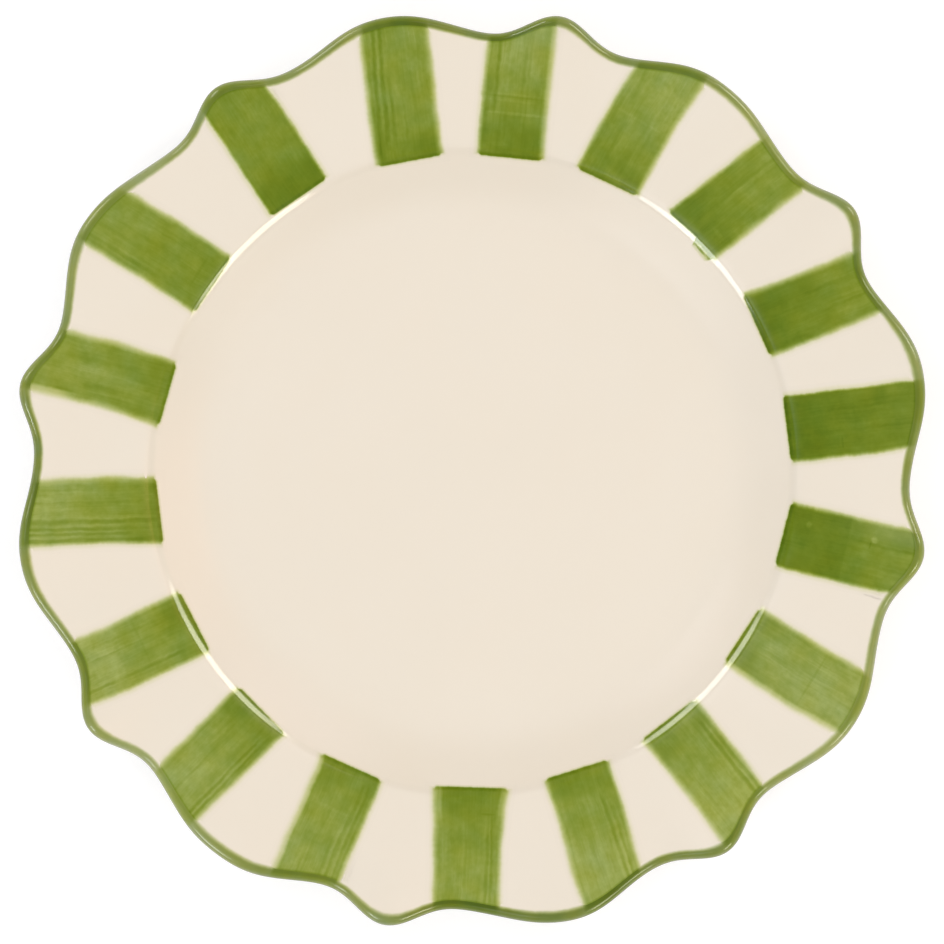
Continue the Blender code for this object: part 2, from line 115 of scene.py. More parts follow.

# Each brush stroke, listed one by one, so no two are alike:
#   turn: angle of its middle at the inner end and at the outer end
#   start: radius where it starts
#   cw, ccw: half widths on its clockwise and its anticlockwise side, at the inner end,
#     half way and at the outer end
#   end: how far along the paint starts, at places across the inner end
#   paint: thickness of the colour at the inner end, half way and at the outer end
#   soft: how wide the fade is at its clockwise and anticlockwise edge
#   streaks: lines the brush leaves: place across, colour more or less, half width, from
#     and to along the stroke, and how far they lean over
#   marks: places with more colour or less: across, along, half width, half height, amount
#   shoulders: a thinner strip along an edge (side, width, share of the colour, from, to)
STROKES = (
    dict(
        turn=(7.5, 7.3), start=97.0, cw=(9.9, 10.2, 9.8), ccw=(9.8, 9.7, 9.8),
        end=((-9.5, -0.4), (9.5, -0.5)), paint=(1.42, 1.30, 1.20), soft=(1.5, 0.95),
        streaks=((-2.6, 0.10, 0.45, 3, 40, 0), (-1.0, -0.05, 0.5, 14, 34, 0), (3.2, -0.05, 0.5, 8, 34, 0), (4.2, 0.12, 0.5, 12, 40, 0.2), (6.0, 0.07, 0.4, 20, 40, 0)),
        marks=((-6.2, 15.8, 2.2, 0.35, 0.12), (6.8, 28.5, 2.8, 2.6, 0.16), (-1.5, 6, 6, 6, 0.05)),
        shoulders=(),
    ),
    dict(
        turn=(26.9, 25.7), start=96.7, cw=(9.8, 10.3, 10.2), ccw=(10.0, 9.0, 9.0),
        end=((-9.5, 0.5), (9.5, 0.0)), paint=(1.37, 1.18, 1.03), soft=(1.8, 2.1),
        streaks=((-3.6, 0.08, 0.5, 20, 36, 0), (-2.2, 0.06, 0.4, 22, 36, 0), (1.0, -0.05, 0.6, 4, 24, -0.3), (3.1, 0.07, 0.5, 16, 36, 0), (6.6, -0.05, 0.5, 8, 30, 0)),
        marks=((3.5, 12, 4.5, 9, 0.06), (-5.5, 20, 4, 8, -0.05)),
        shoulders=(),
    ),
    dict(
        turn=(46.8, 44.7), start=98.2, cw=(9.5, 9.7, 9.8), ccw=(9.9, 9.5, 9.2),
        end=((-9.5, -0.5), (-8.7, -1.9), (-2.2, -1.9), (-1.3, 0.2), (9.5, -1.5)), paint=(1.24, 1.03, 0.96), soft=(2.2, 1.5),
        streaks=((-5.5, 0.05, 0.4, 8, 30, 0), (0.2, 0.08, 0.4, 16, 33, 0), (1.6, -0.08, 0.5, 14, 34, 0), (2.6, 0.07, 0.35, 12, 34, 0), (6.0, 0.06, 0.8, 10, 30, 0)),
        marks=((-5.5, -1.5, 4.8, 1.2, -1.15), (-4.9, -1.15, 2.6, 0.42, 0.55), (-4.5, 6, 3, 0.8, -0.08), (5.5, 12, 4, 14, 0.07)),
        shoulders=(),
    ),
    dict(
        turn=(64.9, 63.4), start=96.7, cw=(9.9, 9.2, 9.7), ccw=(9.7, 10.4, 10.0),
        end=((-9.5, 0.8), (9.5, -1.0)), paint=(1.14, 0.97, 0.84), soft=(2.1, 1.55),
        streaks=((-2.1, 0.08, 0.4, 2, 26, 0), (-3.4, -0.05, 0.5, 4, 28, 0), (2.7, -0.06, 0.5, 4, 22, 0), (3.9, 0.10, 0.5, 1, 14, 0), (6.3, 0.11, 0.6, 24, 36, 0), (8.6, 0.08, 0.5, 12, 30, 0)),
        marks=((-6, 4, 4, 4, 0.06), (1, 21, 9, 0.5, -0.05), (-3, 30, 6, 5, -0.05)),
        shoulders=(),
    ),
    dict(
        turn=(83.3, 83.4), start=96.3, cw=(10.0, 9.9, 9.8), ccw=(9.4, 9.7, 9.9),
        end=((-9.5, -0.6), (9.5, -0.8)), paint=(1.17, 1.01, 0.86), soft=(1.8, 1.5),
        streaks=((-3.4, 0.07, 0.35, 2, 34, 0), (-1.8, 0.09, 0.4, 10, 34, -0.2), (2.2, 0.06, 0.4, 2, 14, 0), (3.9, 0.10, 0.6, 1, 10, 0), (5.0, -0.07, 0.6, 10, 34, 0), (6.2, 0.26, 0.55, 12, 38, 0), (7.4, 0.10, 0.4, 18, 38, 0), (8.5, 0.08, 0.5, 2, 38, 0)),
        marks=((-0.5, 12.6, 9.5, 0.55, -0.12), (0, 16.4, 9, 0.45, -0.07), (0, 17.6, 9, 0.35, 0.10), (0, 18.4, 8, 0.35, -0.07), (3.6, 3.2, 3, 0.8, -0.08), (-5.5, 4, 4.5, 5, 0.07)),
        shoulders=(("cw", 1.2, 0.75, -3, 50),),
    ),
    dict(
        turn=(101.4, 100.4), start=96.3, cw=(9.7, 10.0, 10.6), ccw=(9.6, 9.8, 9.3),
        end=((-9.5, 0.0), (9.5, -1.0)), paint=(1.14, 0.98, 0.94), soft=(2.1, 2.1),
        streaks=((-3.8, 0.05, 0.4, 8, 30, 0), (-0.6, 0.06, 0.35, 4, 20, 0), (1.9, -0.06, 0.5, 4, 30, 0), (2.9, 0.15, 0.4, 3, 27, -0.5), (4.0, -0.09, 0.5, 6, 36, -0.6), (5.0, 0.22, 0.5, 5, 38, -1.0), (6.1, -0.07, 0.4, 8, 36, -1.0), (7.3, 0.22, 0.5, 1, 38, -1.1), (8.9, 0.12, 0.5, 0, 34, -0.8)),
        marks=((3, 6.5, 2.5, 4, -0.08), (8.3, 2, 1.5, 2, 0.08), (-6, 4, 4.5, 5, 0.08)),
        shoulders=(),
    ),
    dict(
        turn=(122.4, 122.7), start=98.4, cw=(10.1, 10.4, 10.0), ccw=(9.9, 9.9, 9.9),
        end=((-9.5, -0.2), (9.5, -0.5)), paint=(1.28, 1.05, 1.05), soft=(1.25, 1),
        streaks=((-2.0, 0.03, 0.5, 6, 30, 0), (5.8, 0.05, 0.7, 24, 36, 0)),
        marks=((-2, 4, 9, 4, 0.06),),
        shoulders=(),
    ),
    dict(
        turn=(144.5, 145.5), start=96.7, cw=(9.8, 10.3, 10.1), ccw=(9.7, 9.3, 9.4),
        end=((-9.5, -0.3), (9.5, 0.3)), paint=(1.10, 1.00, 0.95), soft=(2.1, 1.7),
        streaks=((-5.0, 0.04, 0.4, 12, 34, 0), (-1.5, 0.04, 0.5, 10, 34, 0), (5.6, -0.05, 0.5, 16, 38, 0), (6.8, 0.10, 0.45, 14, 38, 0), (8.2, 0.06, 0.4, 20, 38, 0)),
        marks=((-1.5, 5.8, 5, 0.5, 0.08),),
        shoulders=(),
    ),
    dict(
        turn=(166.1, 165.7), start=95.5, cw=(9.9, 10.8, 10.5), ccw=(9.5, 8.5, 9.0),
        end=((-9.5, -0.4), (9.5, -0.2)), paint=(1.07, 0.97, 0.91), soft=(1.8, 2.4),
        streaks=((-4.3, 0.06, 0.5, 10, 34, 0.3), (-1, -0.05, 0.8, 10, 30, 0.3), (3.7, 0.10, 0.9, 8, 28, -0.2), (6.0, 0.09, 0.5, 10, 36, 0.8), (7.4, 0.10, 0.4, 20, 38, 1.0)),
        marks=((-5, 10, 3.5, 7, 0.05), (0, 26, 3, 8, -0.05)),
        shoulders=(("cw", 1.2, 0.7, 8, 50), ("ccw", 1.6, 0.55, 28, 50)),
    ),
    dict(
        turn=(187.4, 185.7), start=95.8, cw=(9.8, 10.2, 9.8), ccw=(9.7, 9.3, 9.7),
        end=((-9.5, 0.8), (9.5, -1.0)), paint=(1.07, 0.94, 0.81), soft=(1.5, 1.35),
        streaks=((-6.0, -0.04, 0.5, 4, 36, 0), (-3.0, 0.09, 0.35, 3, 38, 0), (-1.2, -0.04, 0.4, 6, 36, 0), (1.6, -0.07, 0.5, 2, 38, 0), (2.8, 0.20, 0.55, 0, 38, 0), (4.0, -0.06, 0.4, 4, 38, 0), (5.0, 0.20, 0.4, 6, 38, 0), (5.8, -0.06, 0.3, 10, 38, 0), (6.5, 0.18, 0.35, 8, 38, 0), (7.5, -0.06, 0.3, 8, 38, 0), (8.5, 0.20, 0.5, 3, 38, 0)),
        marks=((-7, 2, 1.5, 1.2, 0.10), (-1.8, 35, 3, 4, -0.05)),
        shoulders=(("cw", 1.4, 0.8, -3, 50),),
    ),
    dict(
        turn=(208.5, 207.4), start=96.1, cw=(9.7, 9.1, 9.4), ccw=(10.1, 10.4, 10.0),
        end=((-9.5, 0.2), (9.5, -0.6)), paint=(1.08, 0.90, 0.78), soft=(1.9, 1.55),
        streaks=((-5.2, 0.05, 0.4, 6, 34, 0), (-1.4, 0.08, 0.35, 4, 34, 0), (0.6, -0.05, 0.6, 8, 34, 0), (5.8, -0.05, 0.4, 8, 36, 0), (6.8, 0.17, 0.4, 6, 38, 0.1), (8.0, 0.06, 0.3, 16, 38, 0)),
        marks=((-5.5, 5, 4, 4, 0.08), (2, 30, 7, 6, -0.05), (0, 17.2, 9, 0.4, 0.04)),
        shoulders=(),
    ),
    dict(
        turn=(228.7, 227.8), start=96.7, cw=(9.7, 9.9, 9.6), ccw=(9.8, 9.4, 9.3),
        end=((-9.5, 0.0), (9.5, 0.4)), paint=(1.09, 0.89, 0.80), soft=(1.8, 1.6),
        streaks=((-4.5, 0.04, 0.4, 8, 34, 0), (-1.8, 0.08, 0.35, 14, 38, 0), (0.5, -0.04, 0.6, 8, 34, 0), (4.6, 0.12, 0.4, 3, 10, 0), (6.1, 0.18, 0.4, 6, 38, 0.2), (6.9, -0.06, 0.3, 8, 38, 0.2), (7.7, 0.17, 0.35, 4, 38, 0.2), (9.0, 0.08, 0.35, 10, 34, 0.2)),
        marks=((-6, 4.5, 4, 4, 0.08),),
        shoulders=(),
    ),
    dict(
        turn=(248.1, 247.6), start=97.3, cw=(10.1, 9.6, 9.7), ccw=(9.3, 9.8, 9.9),
        end=((-9.5, -0.1), (9.5, 0.0)), paint=(1.05, 0.89, 0.81), soft=(1.6, 1.6),
        streaks=((-3.5, 0.05, 0.4, 14, 36, 0), (-1.9, 0.05, 0.4, 22, 36, 0), (3.3, 0.11, 0.4, 22, 36, 0), (4.5, -0.05, 0.4, 8, 36, 0), (5.5, 0.15, 0.4, 3, 36, 0), (6.5, -0.06, 0.35, 6, 36, 0), (7.4, 0.15, 0.45, 2, 36, 0.3), (8.8, 0.07, 0.4, 10, 36, 0)),
        marks=((-5.5, 3.5, 4, 4, 0.09), (-1, 14, 7, 0.6, -0.04), (-2, 24, 7, 4, 0.05)),
        shoulders=(("cw", 1.0, 0.5, -3, 50),),
    ),
    dict(
        turn=(269.8, 269.2), start=96.7, cw=(11.2, 10.1, 9.9), ccw=(11.0, 9.5, 9.8),
        end=((-9.5, -0.2), (9.5, -0.4)), paint=(1.09, 0.95, 0.83), soft=(1.7, 1.6),
        streaks=((-5.5, 0.07, 0.9, 2, 34, 0), (-2.5, 0.04, 0.5, 4, 34, 0), (-0.8, 0.05, 0.4, 10, 34, 0), (4.7, -0.04, 0.4, 10, 34, 0), (5.7, 0.14, 0.4, 12, 36, 0), (6.5, -0.05, 0.3, 12, 36, 0), (7.1, 0.16, 0.4, 8, 36, 0.1), (8.8, 0.06, 0.3, 16, 36, 0)),
        marks=((5.5, 7.7, 2.2, 0.35, 0.14), (-4.5, 3.5, 4, 5, 0.07), (4, 29, 1.5, 3, 0.06)),
        shoulders=(("cw", 2.2, 0.66, -3, 10), ("ccw", 1.8, 0.66, -3, 10)),
    ),
    dict(
        turn=(289.4, 288.9), start=96.7, cw=(9.8, 10.1, 10.4), ccw=(9.5, 9.3, 8.8),
        end=((-9.5, -0.4), (9.5, -0.3)), paint=(1.04, 0.88, 0.76), soft=(1.9, 1.45),
        streaks=((-2.6, 0.08, 0.4, 20, 36, 0), (-0.5, -0.04, 0.6, 6, 34, 0), (3.8, -0.05, 0.4, 10, 38, 0), (4.8, 0.15, 0.4, 8, 38, 0.2), (5.8, -0.05, 0.3, 10, 38, 0.2), (6.8, 0.14, 0.4, 12, 38, 0.2), (8.4, 0.05, 0.3, 10, 38, 0)),
        marks=((-6, 3, 4, 4, 0.06), (0, 5, 9, 3, 0.04)),
        shoulders=(),
    ),
    dict(
        turn=(308.4, 308.4), start=96.7, cw=(10.0, 9.5, 10.2), ccw=(9.6, 9.8, 9.3),
        end=((-9.5, -0.4), (9.5, -0.1)), paint=(1.05, 0.87, 0.73), soft=(2.1, 1.7),
        streaks=((-2.8, 0.04, 0.4, 10, 34, 0), (-0.5, 0.07, 0.4, 14, 34, 0.1), (2.4, -0.05, 0.7, 6, 34, 0), (5.6, -0.05, 0.4, 8, 38, 0), (6.7, 0.20, 0.45, 4, 38, 0.2), (7.6, -0.05, 0.3, 6, 38, 0.2), (8.5, 0.12, 0.4, 1, 38, 0.2)),
        marks=((-5.5, 5, 4, 4.5, 0.08), (-4, 33, 5, 4, -0.05)),
        shoulders=(),
    ),
    dict(
        turn=(328.6, 328.5), start=96.3, cw=(9.7, 10.3, 9.9), ccw=(9.5, 9.4, 9.6),
        end=((-9.5, -0.4), (9.5, 0.1)), paint=(1.01, 0.90, 0.80), soft=(2, 1.9),
        streaks=((-5.6, -0.05, 0.5, 6, 34, 0), (-2.2, -0.06, 0.8, 8, 24, 0), (-0.4, 0.05, 0.4, 10, 34, 0), (4.6, 0.05, 0.4, 2, 12, 0), (6.5, 0.13, 0.45, 2, 14, 0), (5.5, 0.05, 0.4, 18, 36, 0), (8.2, 0.08, 0.5, 10, 36, 0)),
        marks=((-5.5, 4, 4, 5, 0.10), (0, 25, 9, 0.45, 0.09), (0, 12, 4, 6, -0.05)),
        shoulders=(("cw", 0.9, 0.7, -3, 50),),
    ),
    dict(
        turn=(348.4, 347.8), start=96.7, cw=(9.8, 9.9, 9.6), ccw=(9.6, 9.8, 10.0),
        end=((-9.5, -0.3), (9.5, 0.0)), paint=(1.34, 1.33, 1.18), soft=(1.25, 1.6),
        streaks=((-3.0, 0.06, 0.5, 20, 38, 0), (-1.9, 0.05, 0.4, 22, 38, 0), (2.2, -0.05, 0.5, 20, 38, 0), (3.4, 0.12, 0.4, 21, 40, 0.1), (5.6, -0.04, 0.6, 6, 30, 0)),
        marks=((4.6, 6.8, 1.1, 1.0, -0.22), (4.8, 27.2, 1.1, 1.2, -0.26), (3.0, 26.2, 1.3, 0.35, 0.16)), step=(19.2, -0.10),
        shoulders=(),
    ),
)
OUTER_MEASURED = 133.4  # radius that the outer angle holds at

CREAM = (0.843, 0.778, 0.666)  # glaze, linear
GREEN_PASSES = (0.255, 0.369, 0.0547)  # what a unit thickness of the colour lets through


# --------------------------------------------------------------------- surface
def wave(theta):
    out = np.zeros_like(theta)
    rate = np.zeros_like(theta)
    for count, amplitude, crest in WAVES:
        phase = count * (theta - math.radians(crest))
        out += amplitude * np.cos(phase)
        rate -= amplitude * count * np.sin(phase)
    return out, rate


def share(radius):
    reach = np.clip((radius - VERGE_RADIUS) / (EDGE_RADIUS - VERGE_RADIUS), 0.0, None)
    return reach * reach, 2.0 * reach / (EDGE_RADIUS - VERGE_RADIUS)


def drift(radius, theta):
    """How far the verge and the wall and rim beside it are pushed out of true, and its
    rate of change with the radius and with the angle."""
    up = np.clip((radius - 80.0) / 15.5, 0.0, 1.0)
    down = np.clip((118.0 - radius) / 18.0, 0.0, 1.0)
    felt = up * up * (3.0 - 2.0 * up) * down * down * (3.0 - 2.0 * down)
    steep = 6.0 * up * (1.0 - up) / 15.5 - 6.0 * down * (1.0 - down) / 18.0
    size = np.zeros_like(theta)
    rate = np.zeros_like(theta)
    for count, amplitude, farthest in VERGE_DRIFT:
        phase = count * (theta - math.radians(farthest))
        size += amplitude * np.cos(phase)
        rate -= amplitude * count * np.sin(phase)
    return felt * size, steep * size, felt * rate


class Turned:
    """A profile given by its slopes: height and direction at any radius."""

    def __init__(self, slopes, start_z):
        radii = [row[0] for row in slopes]
        self.r = np.arange(radii[0], radii[-1], 0.01)
        self.angle = np.radians(np.interp(self.r, radii, [row[1] for row in slopes]))
        steep = np.tan(self.angle)
        self.z = start_z + np.concatenate(
            ([0.0], np.cumsum(0.5 * (steep[1:] + steep[:-1]) * 0.01))
        )

    def at(self, r):
        return np.interp(r, self.r, self.z), np.interp(r, self.r, self.angle)


FRONT = Turned(FRONT_SLOPES, FLOOR_Z)
BACK = Turned(BACK_SLOPES, BACK_START_Z)
LEAN = float(FRONT.at(EDGE_RADIUS)[1])
ARC_R = EDGE_RADIUS - EDGE_ROUND - EDGE_ROUND * math.sin(LEAN)  # front meets the edge
ARC_CENTRE_Z = float(FRONT.at(ARC_R)[0]) - EDGE_ROUND * math.cos(LEAN)
BACK_LEAN = math.radians(BACK_SLOPES[-1][1])
ARC_LENGTH = EDGE_ROUND * (math.pi - BACK_LEAN + LEAN)
ARC_END_R = EDGE_RADIUS - EDGE_ROUND + EDGE_ROUND * math.sin(BACK_LEAN)
ARC_END_Z = ARC_CENTRE_Z - EDGE_ROUND * math.cos(BACK_LEAN)
BACK_FIT = ARC_END_Z - float(BACK.at(ARC_END_R)[0])


def profile(q):
    """Points of the profile: q is the radius on the front, and goes on as the length
    round the edge. Returns r, z and the direction of travel."""
    q = np.asarray(q, float)
    z, angle = FRONT.at(np.maximum(q, FLOOR_RADIUS))
    turn = -LEAN + np.clip(q - ARC_R, 0.0, ARC_LENGTH) / EDGE_ROUND
    edge_r = EDGE_RADIUS - EDGE_ROUND + EDGE_ROUND * np.sin(turn)
    edge_z = ARC_CENTRE_Z + EDGE_ROUND * np.cos(turn)
    on_edge = q > ARC_R
    r = np.where(on_edge, edge_r, q)
    z = np.where(on_edge, edge_z, z)
    dr = np.where(on_edge, np.cos(turn), np.cos(angle))
    dz = np.where(on_edge, -np.sin(turn), np.sin(angle))
    return np.stack([r, z, dr, dz], -1)


def back_profile(r):
    """Points of the back, going inwards, brought to meet the end of the edge."""
    r = np.asarray(r, float)
    z, angle = BACK.at(r)
    z = z + BACK_FIT * np.clip((r - 84.9) / (ARC_END_R - 84.9), 0.0, 1.0)
    return np.stack([r, z, -np.cos(angle), -np.sin(angle)], -1)


def surface(points, theta, offset):
    """Profile points (..., 4) at angles theta, moved out along their normals."""
    r0, z0, dr, dz = (points[..., i] for i in range(4))
    out, rate = wave(theta)
    part, part_rate = share(r0)
    shift, shift_r, shift_t = drift(r0, theta)
    r = r0 + part * out + shift
    z = z0 + RUFFLE * part * out
    along_r = dr * (1.0 + part_rate * out + shift_r)
    along_z = dz + RUFFLE * part_rate * out * dr
    side_r = part * rate + shift_t
    side_z = RUFFLE * part * rate
    normal = np.stack(
        [-along_z * r, along_z * side_r - along_r * side_z, along_r * r], -1
    )
    normal /= np.maximum(np.linalg.norm(normal, axis=-1, keepdims=True), 1e-9)
    cos, sin = np.cos(theta), np.sin(theta)
    n_r, n_t, n_z = (normal[..., i] for i in range(3))
    return np.stack(
        [
            r * cos + offset * (n_r * cos - n_t * sin),
            r * sin + offset * (n_r * sin + n_t * cos),
            z + offset * n_z,
        ],
        -1,
    )


def q_at(radius, theta):
    """The place on the profile whose point at theta lies at this radius in plan."""
    out, _ = wave(theta)
    low = np.full_like(radius, 60.0)
    high = np.full_like(radius, ARC_R + EDGE_ROUND * (math.pi / 2 + LEAN))
    for _ in range(40):
        mid = 0.5 * (low + high)
        r0 = profile(mid)[..., 0]
        above = r0 + share(r0)[0] * out + drift(r0, theta)[0] > radius
        high = np.where(above, mid, high)
        low = np.where(above, low, mid)
    return 0.5 * (low + high)


def line_start(theta):
    """Where the painted line round the edge begins, as a place on the profile: its
    width wanders as a hand does."""
    out, _ = wave(theta)
    width = 2.84 - 0.06 * out
    for count, amplitude, phase in ((1, 0.06, 250.0), (3, 0.05, 80.0), (11, 0.08, 95.0), (23, 0.05, 10.0)):
        width = width + amplitude * np.cos(count * theta - math.radians(phase))
    r0 = EDGE_RADIUS - np.clip(width, 2.1, 3.6)
    turn = np.arcsin(np.clip((r0 - EDGE_RADIUS + EDGE_ROUND) / EDGE_ROUND, -1.0, 1.0))
    return np.where(r0 > ARC_R, ARC_R + (turn + LEAN) * EDGE_ROUND, r0)


# --------------------------------------------------------------- mesh building
def make_piece(name, vertices, faces, material, stands_for, smooth_angle=40.0):
    mesh = bpy.data.meshes.new(name)
    mesh.from_pydata((np.asarray(vertices) * 0.001).tolist(), [], faces)
    mesh.validate()
    mesh.shade_smooth()
    mesh.set_sharp_from_angle(angle=math.radians(smooth_angle))
    mesh.materials.append(material)
    piece = bpy.data.objects.new(name, mesh)
    bpy.context.scene.collection.objects.link(piece)
    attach(piece, "root")
    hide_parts(stands_for)
    return piece


def attribute(piece, name, values):
    layer = piece.data.attributes.new(name, "FLOAT", "POINT")
    layer.data.foreach_set("value", np.asarray(values, np.float32))


def ring_faces(first, second, count):
    """Quads between two rings of vertices that start at these indices. The surface
    faces up when the second ring lies outside the first."""
    i = np.arange(count)
    j = (i + 1) % count
    return np.stack([first + i, second + i, second + j, first + j], -1)


def solid_of_rings(rings, pole_first, pole_last):
    """A closed body from rings of points, with a pole or an open ring at either end.
    Where both ends are open, the last ring joins the first."""
    count = rings[0].shape[0]
    vertices = np.concatenate(rings)
    faces = [
        ring_faces(k * count, (k + 1) * count, count) for k in range(len(rings) - 1)
    ]
    if pole_first is None:
        faces.append(ring_faces((len(rings) - 1) * count, 0, count))
        return vertices, np.concatenate(faces).tolist()
    faces = np.concatenate(faces).tolist()
    i = np.arange(count)
    j = (i + 1) % count
    a = len(vertices)
    faces += np.stack([np.full(count, a), i, j], -1).tolist()
    last = (len(rings) - 1) * count
    faces += np.stack([last + i, np.full(count, a + 1), last + j], -1).tolist()
    return np.concatenate([vertices, [pole_first, pole_last]]), faces


THETA = np.radians(1.1) + 2.0 * np.pi * np.arange(SEGMENTS) / SEGMENTS


def rings_of(points, offsets, theta=THETA):
    points = np.asarray(points)
    offsets = np.broadcast_to(offsets, len(points))
    return [
        surface(np.broadcast_to(p, (len(theta), 4)), theta, o)
        for p, o in zip(points, offsets)
    ]


def front_rows(coarse):
    """Places on the profile from the middle of the well to the start of the edge."""
    step = 3 if coarse else 1
    well = [6.0, 16.0, 28.0, 40.0, 52.0, 62.0, 69.0, 73.0, 75.0]
    wall = list(np.arange(76.25, 95.1, 1.25 * step))
    verge = list(np.arange(95.6, 99.9, 0.14 * step))
    rim = [100.2, 100.8, 101.6, 102.8] + list(np.arange(104.5, ARC_R - 1.0, 1.8 * step))
    return np.array((well[::2] if coarse else well) + wall + verge + rim + [ARC_R - 0.6])


def edge_rows(coarse):
    return ARC_R + np.linspace(0.0, ARC_LENGTH, 11 if coarse else 31)


def back_rows(coarse):
    step = 3 if coarse else 1
    return np.concatenate(
        [
            np.arange(ARC_END_R - 1.5, 100.0, -2.2 * step),
            np.arange(99.0, 85.6, -1.2 * step),
        ]
    )


def foot_point(radius, z, n_r, n_z):
    """A profile point from its place and the way it faces."""
    return (radius, z, n_z, -n_r)


def fillet(centre, radius, start, end, steps):
    """Profile points round a small arc, from one facing direction to another, where a
    direction is degrees from straight out, turning towards straight up."""
    rows = []
    for angle in np.radians(np.linspace(start, end, steps)):
        n_r, n_z = math.cos(angle), math.sin(angle)
        rows.append(
            foot_point(centre[0] + radius * n_r, centre[1] + radius * n_z, n_r, n_z)
        )
    return rows


def hollow(centre, radius, start, end, steps):
    """The same round an inside corner: the surface faces the arc's centre."""
    rows = []
    for angle in np.radians(np.linspace(start, end, steps)):
        n_r, n_z = -math.cos(angle), -math.sin(angle)
        rows.append(
            foot_point(centre[0] - radius * n_r, centre[1] - radius * n_z, n_r, n_z)
        )
    return rows


def build_glaze(material):
    """The glaze over the front, round the edge, over the back and down the outside of
    the foot ring, where it stops in a rounded bead."""
    front = np.concatenate([profile(front_rows(False)), profile(edge_rows(False))])
    back = back_profile(back_rows(False))
    # the back runs into the foot ring's outer wall through a small hollow
    start = back_profile([85.9])[0]
    corner = hollow(
        (start[0] + 1.6 * math.sin(math.radians(22.0)), start[1] - 1.6 * math.cos(math.radians(22.0))),
        1.6, 112.0, 190.0, 9,
    )
    top = corner[-1]
    wall = [
        foot_point(top[0] - (top[1] - z) * 0.08, z, 0.985, -0.174)
        for z in (2.2, 1.9, 1.7, 1.5)
    ]
    bead_r = wall[-1][0]
    bead = [
        foot_point(bead_r - 0.03, 1.36, 0.90, -0.43),
        foot_point(bead_r - 0.10, 1.26, 0.64, -0.77),
        foot_point(bead_r - 0.22, 1.215, 0.26, -0.97),
    ]
    outside = rings_of(np.concatenate([front, back, corner, wall, bead]), 0.0)
    inside_rows = np.concatenate(
        [
            [foot_point(bead_r - 0.33, 1.26, 1.0, 0.0), foot_point(bead_r - 0.35, 1.7, 1.0, 0.0)],
        ]
    )
    inside_foot = rings_of(inside_rows, 0.0)
    hidden = np.concatenate(
        [
            corner[::-4],
            back_profile(back_rows(True))[::-1],
            profile(edge_rows(True))[::-1],
            profile(front_rows(True))[::-1],
        ]
    )
    inside = rings_of(hidden, -GLAZE)
    vertices, faces = solid_of_rings(
        outside + inside_foot + inside,
        (0.0, 0.0, FLOOR_Z),
        (0.0, 0.0, FLOOR_Z - GLAZE),
    )
    return make_piece("cream_glaze_coat", vertices, faces, material, "glaze_coat", 60.0), bead_r


def build_clay(material, bead_r):
    """The biscuit clay: under the glaze, and bare where the foot ring stands."""
    under = rings_of(
        np.concatenate(
            [
                profile(front_rows(True)),
                profile(edge_rows(True)),
                back_profile(back_rows(True)),
            ]
        ),
        -0.60,
    )
    out_r = bead_r - 0.40
    # the clay turns into the foot ring round the same hollow as the glaze, 0.6 mm deeper
    start = back_profile([85.9])[0]
    foot = hollow(
        (start[0] + 1.6 * math.sin(math.radians(22.0)), start[1] - 1.6 * math.cos(math.radians(22.0))),
        2.2, 112.0, 190.0, 7,
    )
    foot += [
        foot_point(out_r - 0.25, 3.2, 1.0, 0.0),
        foot_point(out_r - 0.05, 2.0, 1.0, 0.0),
        foot_point(out_r, 1.5, 1.0, 0.0),
        foot_point(out_r, 1.25, 1.0, -0.05),
        foot_point(out_r - 0.04, 1.0, 0.98, -0.2),
        foot_point(out_r - 0.12, 0.75, 0.95, -0.3),
    ]
    foot += fillet((FOOT_FACE[1] - 0.05, 0.62), 0.62, -35.0, -90.0, 6)
    foot += [foot_point(r, 0.0, 0.0, -1.0) for r in (82.2, 81.4, 80.7)]
    foot += fillet((FOOT_FACE[0] + 0.05, 0.62), 0.62, -90.0, -145.0, 6)
    in_r = FOOT_INSIDE + 0.40
    foot += [
        foot_point(in_r + 0.12, 0.75, -0.95, -0.3),
        foot_point(in_r + 0.04, 1.0, -0.98, -0.2),
        foot_point(in_r, 1.25, -1.0, -0.05),
        foot_point(in_r, 1.5, -1.0, 0.0),
        foot_point(in_r - 0.6, 3.3, -0.7, -0.7),
        foot_point(in_r - 2.0, 3.6, 0.0, -1.0),
        foot_point(40.0, 3.6, 0.0, -1.0),
    ]
    vertices, faces = solid_of_rings(
        under + rings_of(foot, 0.0), (0.0, 0.0, FLOOR_Z - 0.6), (0.0, 0.0, 3.6)
    )
    return make_piece("biscuit_clay_body", vertices, faces, material, "clay_body", 60.0)


def build_recess(material):
    """The glaze inside the foot ring, with its hollow corner and rounded lower bead."""
    r = FOOT_INSIDE
    bead = [
        foot_point(r + 0.32, 1.28, -0.26, -0.97),
        foot_point(r + 0.20, 1.22, -0.26, -0.97),
        foot_point(r + 0.09, 1.26, -0.64, -0.77),
        foot_point(r + 0.03, 1.36, -0.90, -0.43),
        foot_point(r, 1.5, -0.985, -0.174),
    ]
    corner = hollow((r - 1.35, RECESS_Z - 1.3), 1.3, 10.0, 90.0, 9)
    flat = [foot_point(x, RECESS_Z, 0.0, -1.0) for x in (75.5, 70.0, 56.0, 40.0, 22.0, 8.0)]
    outside = rings_of(bead + corner + flat, 0.0)
    upper = [foot_point(x, RECESS_Z + GLAZE, 0.0, -1.0) for x in (8.0, 40.0, 70.0, 76.6)]
    upper += [foot_point(r + 0.34, 2.2, -1.0, 0.0), foot_point(r + 0.36, 1.5, -1.0, 0.0)]
    inside = rings_of(upper, 0.0)
    # from the hidden face down round the bead and in along the ceiling
    rings = inside + outside
    vertices, faces = solid_of_rings(
        rings, (0.0, 0.0, RECESS_Z + GLAZE), (0.0, 0.0, RECESS_Z)
    )
    return make_piece("recess_glaze_patch", vertices, faces, material, "recess_glaze", 60.0)


